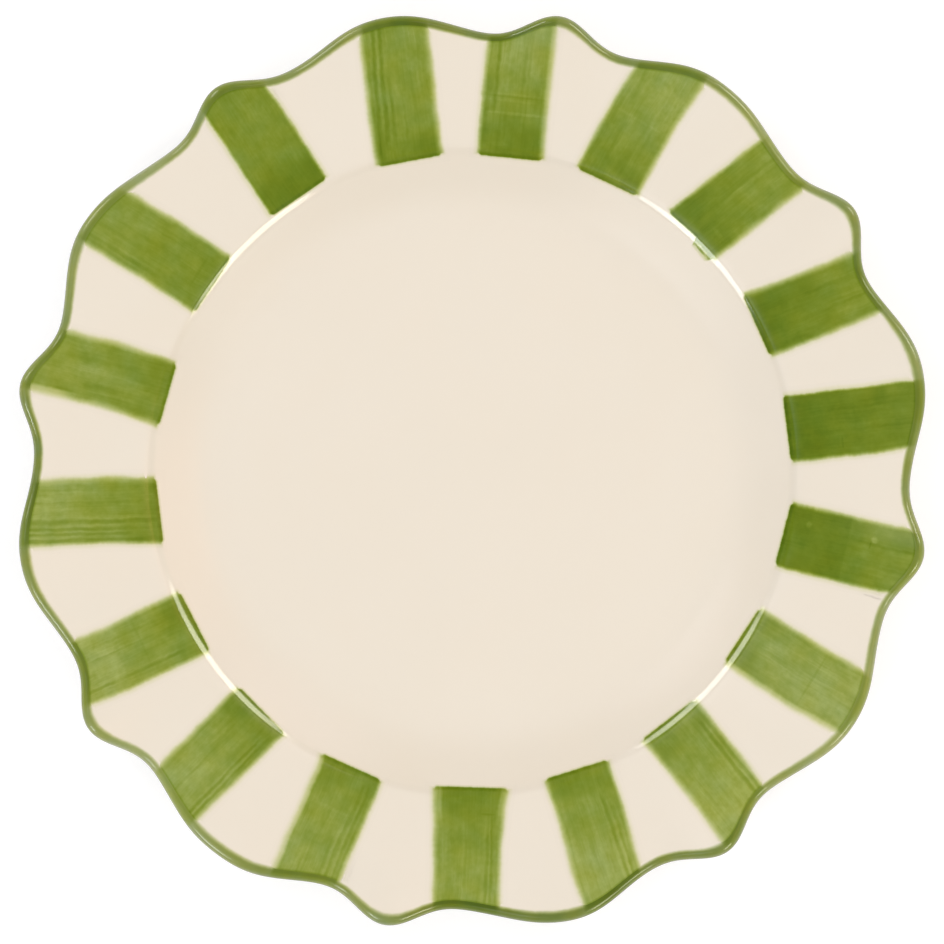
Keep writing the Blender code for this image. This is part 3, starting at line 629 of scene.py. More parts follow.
def smooth(x):
    x = np.clip(x, 0.0, 1.0)
    return x * x * (3.0 - 2.0 * x)


def closed_sheet(top, bottom, wrap):
    """A thin closed body from two grids of points that match. With wrap, the second
    direction closes on itself."""
    rows, columns = top.shape[:2]
    index = np.arange(rows * columns).reshape(rows, columns)
    under = index + rows * columns
    right = np.roll(index, -1, 1) if wrap else index[:, 1:]
    under_right = np.roll(under, -1, 1) if wrap else under[:, 1:]
    left = index if wrap else index[:, :-1]
    under_left = under if wrap else under[:, :-1]
    faces = [
        np.stack([left[:-1], left[1:], right[1:], right[:-1]], -1).reshape(-1, 4),
        np.stack([under_left[:-1], under_right[:-1], under_right[1:], under_left[1:]], -1).reshape(-1, 4),
        np.stack([left[0], right[0], under_right[0], under_left[0]], -1),
        np.stack([left[-1], under_left[-1], under_right[-1], right[-1]], -1),
    ]
    if not wrap:
        faces.append(np.stack([index[:-1, 0], under[:-1, 0], under[1:, 0], index[1:, 0]], -1))
        faces.append(np.stack([index[:-1, -1], index[1:, -1], under[1:, -1], under[:-1, -1]], -1))
    vertices = np.concatenate([top.reshape(-1, 3), bottom.reshape(-1, 3)])
    return vertices, np.concatenate(faces).tolist()


def stroke_axis(stroke):
    """Where a stroke starts, which way it runs and how long it is."""
    a_in, a_out = (math.radians(a) for a in stroke["turn"])
    p0 = stroke["start"] * np.array([math.cos(a_in), math.sin(a_in)])
    p1 = OUTER_MEASURED * np.array([math.cos(a_out), math.sin(a_out)])
    length = float(np.linalg.norm(p1 - p0))
    return p0, (p1 - p0) / length, length


def stroke_sides(stroke, length, along):
    """Its half widths on either side, on smooth curves through the three given."""
    t = np.clip(along / length, -0.1, 1.2)
    x = [(1 - 2 * t) * (1 - t), 4 * t * (1 - t), t * (2 * t - 1)]
    return tuple(sum(k * w for k, w in zip(x, stroke[side])) for side in ("cw", "ccw"))


def doubled(x, y):
    """1 where the line lies over the end of a stroke, 0 between strokes."""
    found = np.zeros_like(x)
    for stroke in STROKES:
        p0, d, length = stroke_axis(stroke)
        along = (x - p0[0]) * d[0] + (y - p0[1]) * d[1]
        across = (y - p0[1]) * d[0] - (x - p0[0]) * d[1]
        left, right = stroke_sides(stroke, length, along)
        inside = np.minimum(left + across, right - across)
        found = np.maximum(found, np.where(along > 0, smooth((inside + 0.5) / 1.2), 0.0))
    return found


def build_line(material):
    """The painted line round the edge, from just inside its brushed margin, over the
    rounded edge and a little way under it."""
    count = 960
    theta = np.radians(1.1) + 2.0 * np.pi * np.arange(count) / count
    start = line_start(theta)
    end = ARC_R + EDGE_ROUND * (math.radians(158.0) + LEAN)
    lead = np.array([-1.1, -0.8, -0.5, -0.3, -0.15, 0.0, 0.15, 0.3, 0.5])
    q = [start + x for x in lead]
    for f in np.linspace(0.0, 1.0, 35)[1:]:
        q.append(start + 0.5 + f * (end - start - 0.5))
    q = np.array(q)
    inside = q - start[None]
    below = end - q
    theta2 = np.broadcast_to(theta, q.shape)
    points = profile(q)
    height = 0.008 + (PAINT - 0.008) * smooth((inside + 0.7) / 1.0) * smooth(below / 0.8)
    top = surface(points, theta2, height)
    bottom = surface(points, theta2, -0.03)
    vertices, faces = closed_sheet(top, bottom, True)
    piece = make_piece("painted_rim_line", vertices, faces, material, "rim_line")
    twice = doubled(top[..., 0], top[..., 1])
    load = np.ones_like(theta2)
    for count, amplitude, phase in LINE_LOAD:
        load = load + amplitude * np.cos(count * theta2 - math.radians(phase))
    for name, grid in (("inside", inside), ("below", below), ("doubled", twice), ("load", load)):
        attribute(piece, name, np.concatenate([grid.ravel(), grid.ravel()]))
    return piece


def build_stroke(number, stroke, material):
    """One brush stroke, from its beaded inner end out to the line round the edge. The
    film runs on a little past the paint, clear, so that the paint can fade out."""
    p0, d, length = stroke_axis(stroke)
    n = np.array([-d[1], d[0]])
    margin = 2.8
    columns = np.linspace(-1.0, 1.0, 45)
    places = [point[0] for point in stroke["end"]]
    set_back = [point[1] for point in stroke["end"]]
    starts = np.full(len(columns), min(set_back) - 1.1)
    # the outer end of each column lies where the line's colour is full
    low, high = np.full(len(columns), 20.0), np.full(len(columns), 48.0)
    for _ in range(40):
        mid = 0.5 * (low + high)
        left, right = stroke_sides(stroke, length, mid)
        across = np.where(columns < 0, columns * (left + margin), columns * (right + margin))
        x = p0[0] + d[0] * mid + n[0] * across
        y = p0[1] + d[1] * mid + n[1] * across
        theta = np.arctan2(y, x)
        over = q_at(np.hypot(x, y), theta) > line_start(theta) + 0.30
        high = np.where(over, mid, high)
        low = np.where(over, low, mid)
    ends = 0.5 * (low + high)
    first = np.arange(0.0, 5.6, 0.16)
    rest = np.concatenate([np.linspace(0.0, 1.0, 31)[1:-3], [0.93, 0.95, 0.965, 0.978, 0.986, 0.993, 1.0]])
    along = np.concatenate(
        [
            starts[None] + first[:, None],
            (starts + first[-1])[None] + rest[:, None] * (ends - starts - first[-1])[None],
        ]
    )
    left, right = stroke_sides(stroke, length, along)
    across = np.where(columns < 0, columns * (left + margin), columns * (right + margin))
    x = p0[0] + d[0] * along + n[0] * across
    y = p0[1] + d[1] * along + n[1] * across
    theta = np.arctan2(y, x)
    q = q_at(np.hypot(x, y), theta)
    inner = along - np.interp(across, places, set_back)
    outer = ends[None] - along
    cw_in = left + across
    ccw_in = right - across
    nearest = np.minimum(np.minimum(cw_in, ccw_in), inner)
    height = 0.006 + 0.030 * smooth((nearest + 1.2) / 2.6) + 0.014 * smooth((inner + 0.3) / 0.8) * np.exp(-np.clip(inner, 0, None) / 0.9)
    height = 0.004 + (height - 0.004) * smooth(outer / 0.5)
    points = profile(q)
    top = surface(points, theta, height)
    bottom = surface(points, theta, -0.03)
    vertices, faces = closed_sheet(top, bottom, False)
    piece = make_piece(f"painted_stripe_{number:02d}", vertices, faces, material, f"stripe_{number:02d}")
    for name, grid in (
        ("across", across),
        ("along", along),
        ("cw_in", cw_in),
        ("ccw_in", ccw_in),
        ("inner", inner),
        ("outer", outer),
    ):
        attribute(piece, name, np.concatenate([grid.ravel(), grid.ravel()]))
    return piece


# ------------------------------------------------------------------- materials
class Graph:
    """A short way to write a material's nodes."""

    def __init__(self, name):
        self.material = bpy.data.materials.new(name)
        self.material.use_nodes = True
        self.tree = self.material.node_tree
        self.tree.nodes.clear()
        self.out = self.tree.nodes.new("ShaderNodeOutputMaterial")
        self.object = self.node("ShaderNodeTexCoord").outputs["Object"]

    def node(self, kind, **settings):
        node = self.tree.nodes.new(kind)
        for key, value in settings.items():
            setattr(node, key, value)
        return node

    def put(self, socket, value):
        if isinstance(value, bpy.types.NodeSocket):
            self.tree.links.new(value, socket)
        else:
            socket.default_value = value

    def math(self, operation, a, b=None, c=None, clamp=False):
        node = self.node("ShaderNodeMath", operation=operation, use_clamp=clamp)
        for socket, value in zip(node.inputs, (a, b, c)):
            if value is not None:
                self.put(socket, value)
        return node.outputs[0]

    def vector(self, x, y, z):
        node = self.node("ShaderNodeCombineXYZ")
        for socket, value in zip(node.inputs, (x, y, z)):
            self.put(socket, value)
        return node.outputs[0]

    def scaled(self, vector, scale):
        node = self.node("ShaderNodeVectorMath", operation="MULTIPLY")
        self.put(node.inputs[0], vector)
        node.inputs[1].default_value = scale
        return node.outputs[0]

    def noise(self, vector, scale, detail=2.0, rough=0.5):
        """Noise about 0, from roughly -0.5 to 0.5."""
        node = self.node("ShaderNodeTexNoise", noise_dimensions="3D")
        self.put(node.inputs["Vector"], vector)
        node.inputs["Scale"].default_value = scale
        node.inputs["Detail"].default_value = detail
        node.inputs["Roughness"].default_value = rough
        return self.math("SUBTRACT", node.outputs["Fac"], 0.5)

    def ramp(self, value, low, high, first=0.0, last=1.0):
        """first below low, last above high, smooth between."""
        node = self.node("ShaderNodeMapRange", interpolation_type="SMOOTHSTEP")
        self.put(node.inputs["Value"], value)
        for key, number in (("From Min", low), ("From Max", high), ("To Min", first), ("To Max", last)):
            self.put(node.inputs[key], number)
        return node.outputs["Result"]

    def curve(self, value, points):
        """A smooth curve through (x, y) points. x and y may have any range."""
        xs = [p[0] for p in points]
        ys = [p[1] for p in points]
        low, high, base, top = min(xs), max(xs), min(ys), max(ys)
        span = max(top - base, 1e-6)
        fit = self.node("ShaderNodeMapRange", clamp=True)
        self.put(fit.inputs["Value"], value)
        for key, number in (("From Min", low), ("From Max", high), ("To Min", 0.0), ("To Max", 1.0)):
            fit.inputs[key].default_value = number
        node = self.node("ShaderNodeFloatCurve")
        self.put(node.inputs["Value"], fit.outputs["Result"])
        line = node.mapping.curves[0]
        scaled = [((x - low) / (high - low), (y - base) / span) for x, y in points]
        line.points[0].location = scaled[0]
        line.points[-1].location = scaled[-1]
        for point in scaled[1:-1]:
            line.points.new(*point)
        node.mapping.update()
        return self.math("MULTIPLY_ADD", node.outputs[0], span, base)

    def read(self, name):
        return self.node("ShaderNodeAttribute", attribute_name=name).outputs["Fac"]

    def colour(self, red, green, blue):
        node = self.node("ShaderNodeCombineColor")
        for socket, value in zip(node.inputs, (red, green, blue)):
            self.put(socket, value)
        return node.outputs[0]

    def finish(self, base, roughness, height, distance, ior=1.54, tint=(1.0, 0.95, 0.87)):
        """The shader, with relief given as a height of 0 to 1 over distance metres."""
        shader = self.node("ShaderNodeBsdfPrincipled")
        self.put(shader.inputs["Base Color"], base)
        self.put(shader.inputs["Roughness"], roughness)
        shader.inputs["Metallic"].default_value = 0.0
        shader.inputs["IOR"].default_value = ior
        shader.inputs["Specular Tint"].default_value = (*tint, 1.0)
        if height is not None:
            bump = self.node("ShaderNodeBump")
            bump.inputs["Strength"].default_value = 1.0
            bump.inputs["Distance"].default_value = distance
            self.put(bump.inputs["Height"], height)
            self.put(shader.inputs["Normal"], bump.outputs["Normal"])
        self.tree.links.new(shader.outputs[0], self.out.inputs["Surface"])
        return shader


def cream(g):
    """The glaze's colour: even, with slow drifts of tone, and a few hundredths darker
    and warmer on the wall of the well, which is painted shade. Returns three channels."""
    drift = g.noise(g.object, 26.0, 3.0, 0.55)
    tint = g.noise(g.object, 60.0, 2.0, 0.5)
    flat = g.node("ShaderNodeVectorMath", operation="LENGTH")
    g.put(flat.inputs[0], g.scaled(g.object, (1.0, 1.0, 0.0)))
    away = flat.outputs["Value"]
    # thick marks the wall of the well, where the glaze is made darker and warmer: painted shade
    thick = g.math("MULTIPLY", g.ramp(away, 0.077, 0.090), g.ramp(away, 0.0965, 0.100, 1.0, 0.0))
    channels = []
    for base, d, t, w in zip(CREAM, (0.020, 0.028, 0.045), (0.008, -0.006, -0.020), (0.020, 0.028, 0.042)):
        level = g.math("MULTIPLY_ADD", drift, d * base, base)
        level = g.math("MULTIPLY_ADD", thick, -w * base, level)
        channels.append(g.math("MULTIPLY_ADD", tint, t * base, level))
    return channels


def glaze_relief(g):
    """The slight unevenness of a dipped glaze: long soft swells and a fine orange peel."""
    swell = g.noise(g.object, 75.0, 1.0, 0.4)
    peel = g.noise(g.object, 420.0, 1.0, 0.5)
    return g.math("MULTIPLY_ADD", peel, 0.05, swell)


def glaze_roughness(g):
    patch = g.noise(g.object, 90.0, 2.0, 0.6)
    return g.math("MULTIPLY_ADD", patch, 0.04, 0.14)


PAINT_TINT = (1.0, 0.98, 0.86)  # the green glaze's reflections are a little yellow
RELIEF = 1.6e-5  # metres from the lowest to the highest swell


def glaze_material():
    g = Graph("cream_glaze")
    channels = cream(g)
    g.finish(g.colour(*channels), glaze_roughness(g), glaze_relief(g), RELIEF)
    return g.material


def clay_material():
    """Biscuit clay: pale buff, dry, with fine grain and small dark specks."""
    g = Graph("biscuit_clay")
    grain = g.noise(g.object, 1400.0, 4.0, 0.65)
    cloud = g.noise(g.object, 45.0, 3.0, 0.5)
    cells = g.node("ShaderNodeTexVoronoi", feature="F1")
    g.put(cells.inputs["Vector"], g.object)
    cells.inputs["Scale"].default_value = 520.0
    speck = g.math("SUBTRACT", 1.0, g.ramp(cells.outputs["Distance"], 0.05, 0.17))
    tone = g.math("MULTIPLY_ADD", grain, 0.30, 1.0)
    tone = g.math("MULTIPLY_ADD", cloud, 0.16, tone)
    tone = g.math("MULTIPLY_ADD", speck, -0.22, tone)
    channels = [g.math("MULTIPLY", tone, c) for c in (0.640, 0.505, 0.365)]
    g.finish(g.colour(*channels), g.math("MULTIPLY_ADD", grain, 0.12, 0.86), grain, 6.0e-5)
    return g.material


def painted(g, thickness, balance=(1.0, 1.0, 1.0), deepen=0.0):
    """The glaze's colour seen through a thickness of green: each channel fades by what
    the colour lets through. The pigment is a little yellower in some places, and where
    it lies thickest it lets still less blue through."""
    hue = g.noise(g.object, 120.0, 1.0, 0.5)
    channels = []
    if deepen:
        extra = g.math("MAXIMUM", g.math("MULTIPLY_ADD", thickness, deepen, 1.0 - 0.79 * deepen), 1.0)
        balance = (balance[0], balance[1], extra)
    for base, passes, turn, part in zip(cream(g), GREEN_PASSES, (0.14, 0.0, -0.36), balance):
        seen = g.math("MULTIPLY", g.math("MULTIPLY_ADD", hue, turn, part), thickness)
        channels.append(g.math("MULTIPLY", base, g.math("POWER", passes, seen)))
    return g.colour(*channels)


def paint_relief(g, thickness):
    return g.math("MULTIPLY_ADD", thickness, 0.22, glaze_relief(g))


def streak(g, x, along, place, amount, half, begin, end, lean):
    """One line that the brush leaves: more colour, or less, fading out at either end."""
    middle = place
    if lean:
        middle = g.math("MULTIPLY_ADD", along, lean / 18.0, place - lean)
    away = g.math("ABSOLUTE", g.math("SUBTRACT", x, middle))
    near = g.ramp(away, 0.1 * half, 1.9 * half, 0.9 * amount, 0.0)
    near = g.math("MULTIPLY", near, g.ramp(along, begin - 1.0, begin + 2.5))
    if end < 37:
        near = g.math("MULTIPLY", near, g.ramp(along, end - 4.0, end + 1.0, 1.0, 0.0))
    return near


def mark(g, across, along, uneven, place, height, wide, tall, amount):
    """A soft spot or bar with more colour or less."""
    u = g.math("MULTIPLY_ADD", across, 1.0 / wide, -place / wide)
    v = g.math("MULTIPLY_ADD", along, 1.0 / tall, -height / tall)
    length = g.node("ShaderNodeVectorMath", operation="LENGTH")
    g.put(length.inputs[0], g.vector(u, v, 0.0))
    away = g.math("ADD", length.outputs["Value"], uneven)
    return g.ramp(away, 0.45, 1.3, amount, 0.0)


def stroke_material(number, stroke):
    thick = stroke["paint"]
    g = Graph(f"green_stripe_{number:02d}")
    across, along = g.read("across"), g.read("along")
    seed = 7.3 * number
    # the brush sways a little, so its lines do too
    sway = g.noise(g.vector(seed, g.math("MULTIPLY", along, 0.07), 3.1), 1.0, 1.0)
    x = g.math("MULTIPLY_ADD", sway, 0.9, across)
    wobble = g.noise(g.vector(g.math("MULTIPLY", across, 0.3), g.math("MULTIPLY", along, 0.35), seed), 1.0, 2.0)
    x = g.math("MULTIPLY_ADD", wobble, 0.8, x)
    broken = g.noise(g.vector(g.math("MULTIPLY", x, 0.25), g.math("MULTIPLY", along, 0.16), seed), 1.0, 2.0)
    lines = 0.0
    for row in stroke["streaks"]:
        lines = g.math("ADD", streak(g, x, along, *row), lines)
    t = g.curve(
        along,
        ((-2.0, thick[0] + 0.02), (4.5, thick[0]), (11.0, 0.5 * (thick[0] + thick[1]) - 0.03), (18.0, thick[1]), (30.0, thick[2]), (36.0, thick[2] + 0.01)),
    )
    t = g.math("MULTIPLY_ADD", g.math("MULTIPLY_ADD", broken, 2.4, 0.95), lines, t)
    fine = g.noise(g.vector(g.math("MULTIPLY", x, 1.5), g.math("MULTIPLY", along, 0.07), seed), 1.0, 2.0, 0.6)
    t = g.math("MULTIPLY_ADD", fine, 0.22, t)
    broad = g.noise(g.vector(g.math("MULTIPLY", x, 0.35), g.math("MULTIPLY", along, 0.035), seed + 20.0), 1.0, 2.0)
    t = g.math("MULTIPLY_ADD", broad, 0.19, t)
    cloud = g.noise(g.vector(g.math("MULTIPLY", across, 0.20), g.math("MULTIPLY", along, 0.17), seed + 40.0), 1.0, 3.0, 0.55)
    t = g.math("MULTIPLY_ADD", cloud, 0.43, t)
    blot = g.noise(g.vector(g.math("MULTIPLY", across, 0.75), g.math("MULTIPLY", along, 0.60), seed + 50.0), 1.0, 2.0)
    t = g.math("MULTIPLY_ADD", blot, 0.18, t)
    ripple = g.noise(g.vector(g.math("MULTIPLY", across, 0.06), g.math("MULTIPLY", along, 0.75), seed + 60.0), 1.0, 2.0)
    t = g.math("MULTIPLY_ADD", ripple, 0.06, t)
    uneven = g.math("MULTIPLY", blot, 0.6)
    for row in stroke["marks"]:
        t = g.math("ADD", mark(g, across, along, uneven, *row), t)
    # edges: they wander by a fraction of a millimetre, and fade out softly
    slow = g.noise(g.vector(g.math("MULTIPLY", along, 0.10), seed, 68.0), 1.0, 2.0)
    edges = {}
    for side, swing, place in (("cw", 1.5, 8.0), ("ccw", -1.2, 28.0)):
        rag = g.noise(g.vector(g.math("MULTIPLY", along, 0.9), g.math("MULTIPLY", across, 0.5), seed + place), 1.0, 2.0, 0.5)
        edge = g.math("MULTIPLY_ADD", rag, 0.40, g.read(side + "_in"))
        edges[side] = g.math("MULTIPLY_ADD", slow, swing, edge)
    for side, width, part, begin, end in stroke["shoulders"]:
        thin = g.ramp(edges[side], width - 0.6, width + 0.6, part - 1.0, 0.0)
        if begin > 0:
            thin = g.math("MULTIPLY", thin, g.ramp(along, begin - 3.5, begin + 3.5))
        if end < 40:
            thin = g.math("MULTIPLY", thin, g.ramp(along, end - 4.0, end + 4.0, 1.0, 0.0))
        t = g.math("MULTIPLY", t, g.math("ADD", thin, 1.0))
    end_rag = g.noise(g.vector(g.math("MULTIPLY", across, 0.7), seed, 48.0), 1.0, 3.0, 0.6)
    inner = g.math("MULTIPLY_ADD", end_rag, 0.38, g.read("inner"))
    loose = g.math("MULTIPLY_ADD", g.noise(g.vector(g.math("MULTIPLY", along, 0.12), seed, 88.0), 1.0, 1.0), 1.0, 1.0)
    cover, halo = 1.0, 1.0
    for side, soft in zip(("cw", "ccw"), stroke["soft"]):
        # corners are brushed round
        corner = g.math("SUBTRACT", 1.0, g.math("MULTIPLY", edges[side], 1.0 / 1.2), clamp=True)
        inner = g.math("MULTIPLY_ADD", g.math("MULTIPLY", corner, corner), -0.55, inner)
        cover = g.math("MULTIPLY", g.ramp(edges[side], g.math("MULTIPLY", loose, -0.64 * soft), g.math("MULTIPLY", loose, 0.72 * soft)), cover)
        halo = g.math("MULTIPLY", g.ramp(edges[side], -2.1, 0.2), halo)
        cover = g.math("MULTIPLY", g.ramp(g.read(side + "_in"), -2.6, -1.9), cover)
    pool = g.noise(g.vector(g.math("MULTIPLY", across, 0.5), seed, 98.0), 1.0, 2.0)
    bead = g.ramp(g.math("ABSOLUTE", g.math("SUBTRACT", inner, 0.5)), 0.0, 0.95, 1.0, 0.0)
    bead = g.math("MULTIPLY", bead, g.math("MULTIPLY_ADD", pool, 0.5, 0.24))
    t = g.math("ADD", bead, t)
    # the line round the edge is laid over the stroke's end
    over = g.ramp(g.read("outer"), 0.2, 1.1, 0.32, 0.0)
    t = g.math("ADD", over, t)
    if "step" in stroke:
        place, amount = stroke["step"]
        t = g.math("ADD", g.ramp(g.math("MULTIPLY_ADD", blot, 1.5, along), place - 0.3, place + 0.5, 0.0, amount), t)
    cover = g.math("MULTIPLY", cover, g.ramp(inner, -0.22, 0.30))
    halo = g.math("MULTIPLY", halo, g.ramp(inner, -0.8, -0.1))
    halo = g.math("MULTIPLY", halo, g.math("SUBTRACT", 1.0, cover))
    t = g.math("MULTIPLY_ADD", halo, 0.15, g.math("MULTIPLY", t, cover))
    t = g.math("MAXIMUM", t, 0.0)
    g.finish(painted(g, t, deepen=0.36), glaze_roughness(g), paint_relief(g, t), RELIEF, 1.62, PAINT_TINT)
    return g.material


def line_material():
    """The line round the edge: fullest near its inner margin, paler and bluer towards the
    limb of the rounded edge as a painted reflection of the pale surroundings, and doubled where it crosses the end of a
    stroke."""
    g = Graph("green_line")
    inside, below = g.read("inside"), g.read("below")
    flow = g.noise(g.object, 55.0, 2.0, 0.5)
    fine = g.noise(g.object, 260.0, 2.0, 0.5)
    rag = g.noise(g.object, 380.0, 3.0, 0.6)
    edge = g.math("MULTIPLY_ADD", rag, 0.45, inside)
    uneven = g.math("MULTIPLY_ADD", fine, 0.16, g.math("MULTIPLY", flow, 0.46))
    single = g.ramp(g.math("ABSOLUTE", g.math("SUBTRACT", edge, 0.8)), 0.0, 0.9, 1.04, 0.98)
    single = g.math("MULTIPLY", g.math("ADD", single, uneven), g.ramp(edge, -0.8, 0.8))
    single = g.math("MAXIMUM", single, g.ramp(edge, -1.05, 0.2, 0.0, 0.14))
    # over a stroke the paint below shows where the line stops
    both = g.math("MULTIPLY", g.ramp(edge, -0.7, 0.0, 0.0, 0.38), g.ramp(inside, 0.7, 1.8, 1.0, 0.35))
    both = g.math("ADD", g.math("ADD", both, 0.91), uneven)
    twice = g.read("doubled")
    t = g.math("MULTIPLY_ADD", g.math("SUBTRACT", both, single), twice, single)
    t = g.math("MULTIPLY", t, g.read("load"))
    # towards the limb of the rounded edge the colour is made thinner and paler: painted reflection of the pale
    # surroundings
    t = g.math("MULTIPLY", t, g.ramp(below, 3.6, 4.9, 0.84, 1.0))
    t = g.math("MULTIPLY", t, g.ramp(g.math("MULTIPLY_ADD", rag, 0.6, below), 0.25, 0.8))
    t = g.math("MAXIMUM", t, 0.0)
    rough = g.math("ADD", glaze_roughness(g), 0.02)
    # a single coat is paler and greyer than the full strokes
    balance = [g.math("MULTIPLY_ADD", twice, b - a, a) for a, b in ((0.92, 0.98), (1.0, 1.04), (0.77, 0.94))]
    # towards the limb the colour also lets more blue through and looks greyer: painted reflection of the pale
    # surroundings
    balance[2] = g.math("MULTIPLY", balance[2], g.ramp(below, 3.2, 4.6, 0.84, 1.0))
    g.finish(painted(g, t, balance), rough, paint_relief(g, t), RELIEF, 1.58, (1.0, 1.0, 0.95))
    return g.material


# ----------------------------------------------------------------------- build
glaze = glaze_material()
clay = clay_material()
_, bead_radius = build_glaze(glaze)
build_clay(clay, bead_radius)
build_recess(glaze)
build_line(line_material())
for number, stroke in enumerate(STROKES, start=1):
    build_stroke(number, stroke, stroke_material(number, stroke))

# ----------------------------------------------------------------------- stage
scene = bpy.context.scene


def build_floor():
    count, radii = 96, (0.25, 0.6, 1.2, 2.5, 6.0, 15.0, 40.0)
    angles = 2.0 * np.pi * np.arange(count) / count
    vertices = [(0.0, 0.0, -0.0004)]
    for r in radii:
        vertices += [(r * math.cos(a), r * math.sin(a), -0.0004) for a in angles]
    faces = [(0, 1 + i, 1 + (i + 1) % count) for i in range(count)]
    for k in range(len(radii) - 1):
        faces += (ring_faces(1 + k * count, 1 + (k + 1) * count, count)).tolist()
    mesh = bpy.data.meshes.new("studio_floor")
    mesh.from_pydata(vertices, [], faces)
    g = Graph("studio_floor")
    spread = g.node("ShaderNodeVectorMath", operation="LENGTH")
    g.put(spread.inputs[0], g.object)
    far = g.ramp(spread.outputs["Value"], 0.25, 1.6)
    glow = g.node("ShaderNodeEmission")
    glow.inputs["Color"].default_value = (1.0, 1.0, 1.0, 1.0)
    g.put(glow.inputs["Strength"], g.math("MULTIPLY_ADD", far, 0.45, 0.68))
    matte = g.node("ShaderNodeBsdfDiffuse")
    matte.inputs["Color"].default_value = (0.42, 0.42, 0.42, 1.0)
    seen = g.node("ShaderNodeAddShader")
    g.tree.links.new(glow.outputs[0], seen.inputs[0])
    g.tree.links.new(matte.outputs[0], seen.inputs[1])
    unseen = g.node("ShaderNodeBsdfDiffuse")
    unseen.inputs["Color"].default_value = (0.90, 0.90, 0.90, 1.0)
    pick = g.node("ShaderNodeMixShader")
    path = g.node("ShaderNodeLightPath")
    g.tree.links.new(path.outputs["Is Camera Ray"], pick.inputs[0])
    g.tree.links.new(unseen.outputs[0], pick.inputs[1])
    g.tree.links.new(seen.outputs[0], pick.inputs[2])
    g.tree.links.new(pick.outputs[0], g.out.inputs["Surface"])
    mesh.materials.append(g.material)
    floor = bpy.data.objects.new("studio_floor", mesh)
    scene.collection.objects.link(floor)


def softbox(name, azimuth, elevation, wide, tall, radiance, colour, distance=2.5):
    """A soft light that spans this many degrees, as seen from the plate."""
    light = bpy.data.lights.new(name, "AREA")
    light.shape = "ELLIPSE"
    light.size = 2.0 * distance * math.tan(math.radians(wide / 2.0)) * math.cos(math.radians(elevation))
    light.size_y = 2.0 * distance * math.tan(math.radians(tall / 2.0))
    light.energy = radiance * math.pi * (math.pi / 4.0) * light.size * light.size_y
    light.color = colour
    lamp = bpy.data.objects.new(name, light)
    a, e = math.radians(azimuth), math.radians(elevation)
    lamp.location = (
        distance * math.cos(a) * math.cos(e),
        distance * math.sin(a) * math.cos(e),
        distance * math.sin(e),
    )
    lamp.rotation_euler = (math.pi / 2 - e, 0.0, a + math.pi / 2)
    lamp.visible_camera = False
    scene.collection.objects.link(lamp)


def overhead(name, wide, radiance, colour, distance=2.5):
    """A broad even light straight above, too soft to show as a reflection."""
    light = bpy.data.lights.new(name, "AREA")
    light.shape = "DISK"
    light.size = 2.0 * distance * math.tan(math.radians(wide / 2.0))
    light.energy = radiance * math.pi * (math.pi / 4.0) * light.size**2
    light.color = colour
    lamp = bpy.data.objects.new(name, light)
    lamp.location = (0.0, 0.0, distance)
    lamp.visible_camera = False
    lamp.visible_glossy = False
    scene.collection.objects.link(lamp)


build_floor()
softbox("softbox_lower_left", 225.0, 35.0, 28.5, 12.0, 8.90, (0.96, 1.0, 1.07))
softbox("softbox_lower_right", 315.0, 35.0, 28.5, 12.0, 8.90, (1.05, 1.0, 0.87))
softbox("softbox_upper_right", 37.5, 35.0, 33.5, 12.0, 8.50, (1.04, 1.0, 0.92))
softbox("softbox_upper_left", 138.0, 35.0, 33.0, 12.0, 7.50, (1.01, 1.0, 0.98))
overhead("fill_overhead", 60.0, 1.285, (1.01, 1.0, 0.97))
world = bpy.data.worlds.new("studio")
scene.world = world
world.use_nodes = True
tree = world.node_tree
tree.nodes.clear()
result = tree.nodes.new("ShaderNodeOutputWorld")
# the room is dim above and pale round the horizon, where the white paper sweeps up
where = tree.nodes.new("ShaderNodeTexCoord")
split = tree.nodes.new("ShaderNodeSeparateXYZ")
tree.links.new(where.outputs["Generated"], split.inputs[0])
lift = tree.nodes.new("ShaderNodeMapRange")
lift.interpolation_type = "SMOOTHSTEP"
tree.links.new(split.outputs["Z"], lift.inputs["Value"])
for key, number in (("From Min", 0.15), ("From Max", 0.70), ("To Min", 0.46), ("To Max", 0.09)):
    lift.inputs[key].default_value = number
room = lift.outputs["Result"]


def world_node(kind, operation, *inputs):
    node = tree.nodes.new(kind)
    node.operation = operation
    for socket, value in zip(node.inputs, inputs):
        if isinstance(value, bpy.types.NodeSocket):
            tree.links.new(value, socket)
        else:
            socket.default_value = value
    return node


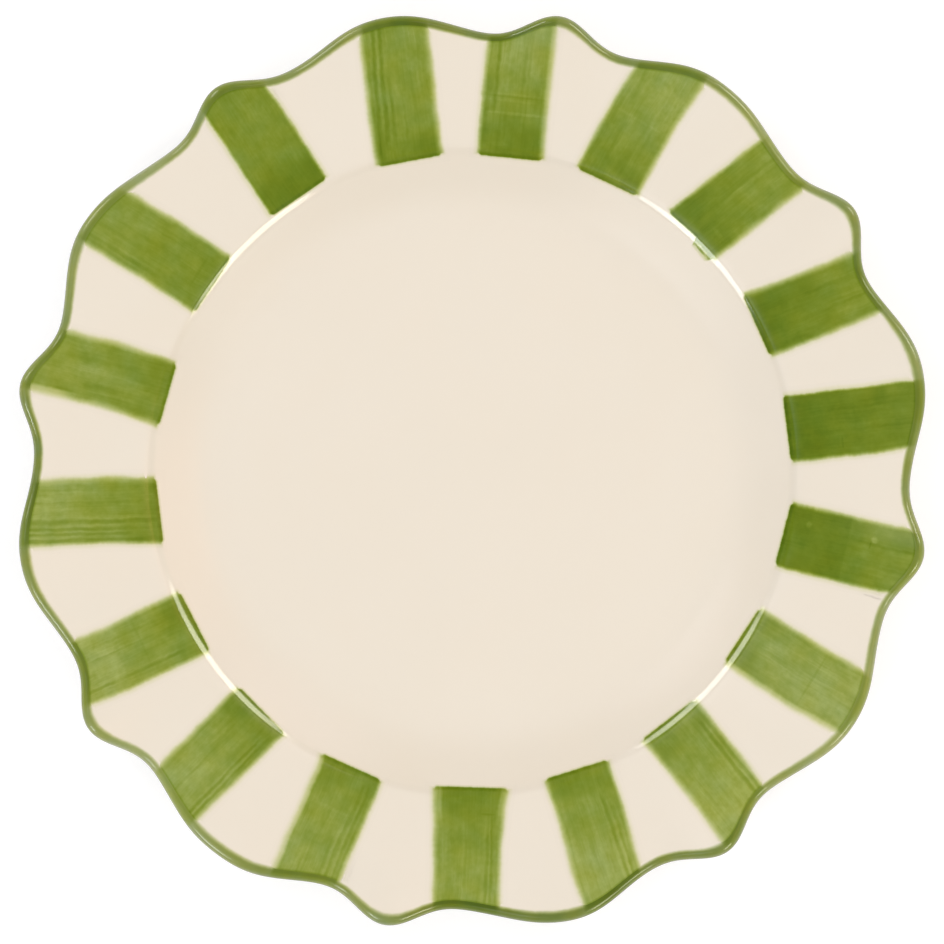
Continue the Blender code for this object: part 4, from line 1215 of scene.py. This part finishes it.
def panel(light, azimuth, elevation, wide, tall, colour):
    """Adds a pale panel with a soft edge, which the wall of the well picks up."""
    a, e = math.radians(azimuth), math.radians(elevation)
    ahead = (math.cos(a) * math.cos(e), math.sin(a) * math.cos(e), math.sin(e))
    side = (-math.sin(a), math.cos(a), 0.0)
    up = (-math.cos(a) * math.sin(e), -math.sin(a) * math.sin(e), math.cos(e))
    half = math.sin(math.radians(wide)) * math.cos(e), math.sin(math.radians(tall))
    there = [world_node("ShaderNodeVectorMath", "DOT_PRODUCT", where.outputs["Generated"], v) for v in (side, up, ahead)]
    u = world_node("ShaderNodeMath", "MULTIPLY", there[0].outputs["Value"], 1.0 / half[0])
    v = world_node("ShaderNodeMath", "MULTIPLY", there[1].outputs["Value"], 1.0 / half[1])
    flat = tree.nodes.new("ShaderNodeCombineXYZ")
    tree.links.new(u.outputs[0], flat.inputs[0])
    tree.links.new(v.outputs[0], flat.inputs[1])
    far = world_node("ShaderNodeVectorMath", "LENGTH", flat.outputs[0])
    glow = tree.nodes.new("ShaderNodeMapRange")
    glow.interpolation_type = "SMOOTHSTEP"
    tree.links.new(far.outputs["Value"], glow.inputs["Value"])
    for key, number in (("From Min", 0.45), ("From Max", 1.45), ("To Min", 1.0), ("To Max", 0.0)):
        glow.inputs[key].default_value = number
    front = world_node("ShaderNodeMath", "GREATER_THAN", there[2].outputs["Value"], 0.0)
    seen = world_node("ShaderNodeMath", "MULTIPLY", glow.outputs["Result"], front.outputs[0])
    tinted = world_node("ShaderNodeVectorMath", "SCALE", colour)
    tree.links.new(seen.outputs[0], tinted.inputs["Scale"])
    return world_node("ShaderNodeVectorMath", "ADD", light, tinted.outputs[0]).outputs[0]


for row in (
    (228.0, 54.5, 21.0, 10.0, (1.10, 1.15, 1.35)),
    (195.0, 53.0, 18.0, 10.0, (0.32, 0.40, 0.58)),
    (320.0, 54.0, 18.0, 9.0, (0.55, 0.55, 0.60)),
    (10.0, 53.0, 24.0, 11.0, (1.00, 0.45, 0.28)),
    (52.0, 53.0, 18.0, 10.0, (0.80, 0.62, 0.80)),
    (142.0, 59.5, 20.0, 8.5, (1.00, 0.95, 1.10)),
):
    room = panel(room, *row)
fill = tree.nodes.new("ShaderNodeBackground")
tree.links.new(room, fill.inputs["Color"])
white = tree.nodes.new("ShaderNodeBackground")
white.inputs["Color"].default_value = (1.0, 1.0, 1.0, 1.0)
white.inputs["Strength"].default_value = 1.1
choose = tree.nodes.new("ShaderNodeMixShader")
rays = tree.nodes.new("ShaderNodeLightPath")
tree.links.new(rays.outputs["Is Camera Ray"], choose.inputs[0])
tree.links.new(fill.outputs[0], choose.inputs[1])
tree.links.new(white.outputs[0], choose.inputs[2])
tree.links.new(choose.outputs[0], result.inputs["Surface"])

scene.view_settings.view_transform = "Standard"
scene.view_settings.look = "None"
scene.view_settings.exposure = 0.0
scene.view_settings.gamma = 1.0

# ---------------------------------------------------------------------- camera
WIDE = 0.30323 * 944  # millimetres that the frame spans at the height of the rim
RIM_HEIGHT = 23.0
camera = bpy.data.cameras.new("camera")
camera.lens = 500.0
camera.sensor_width = 36.0
camera.clip_start = 0.05
camera.clip_end = 100.0
view = bpy.data.objects.new("camera", camera)
view.location = (0.00003, -0.00058, (RIM_HEIGHT + WIDE / 36.0 * 500.0) * 0.001)
view.rotation_euler = (0.0, 0.0, 0.0)
scene.collection.objects.link(view)
scene.camera = view
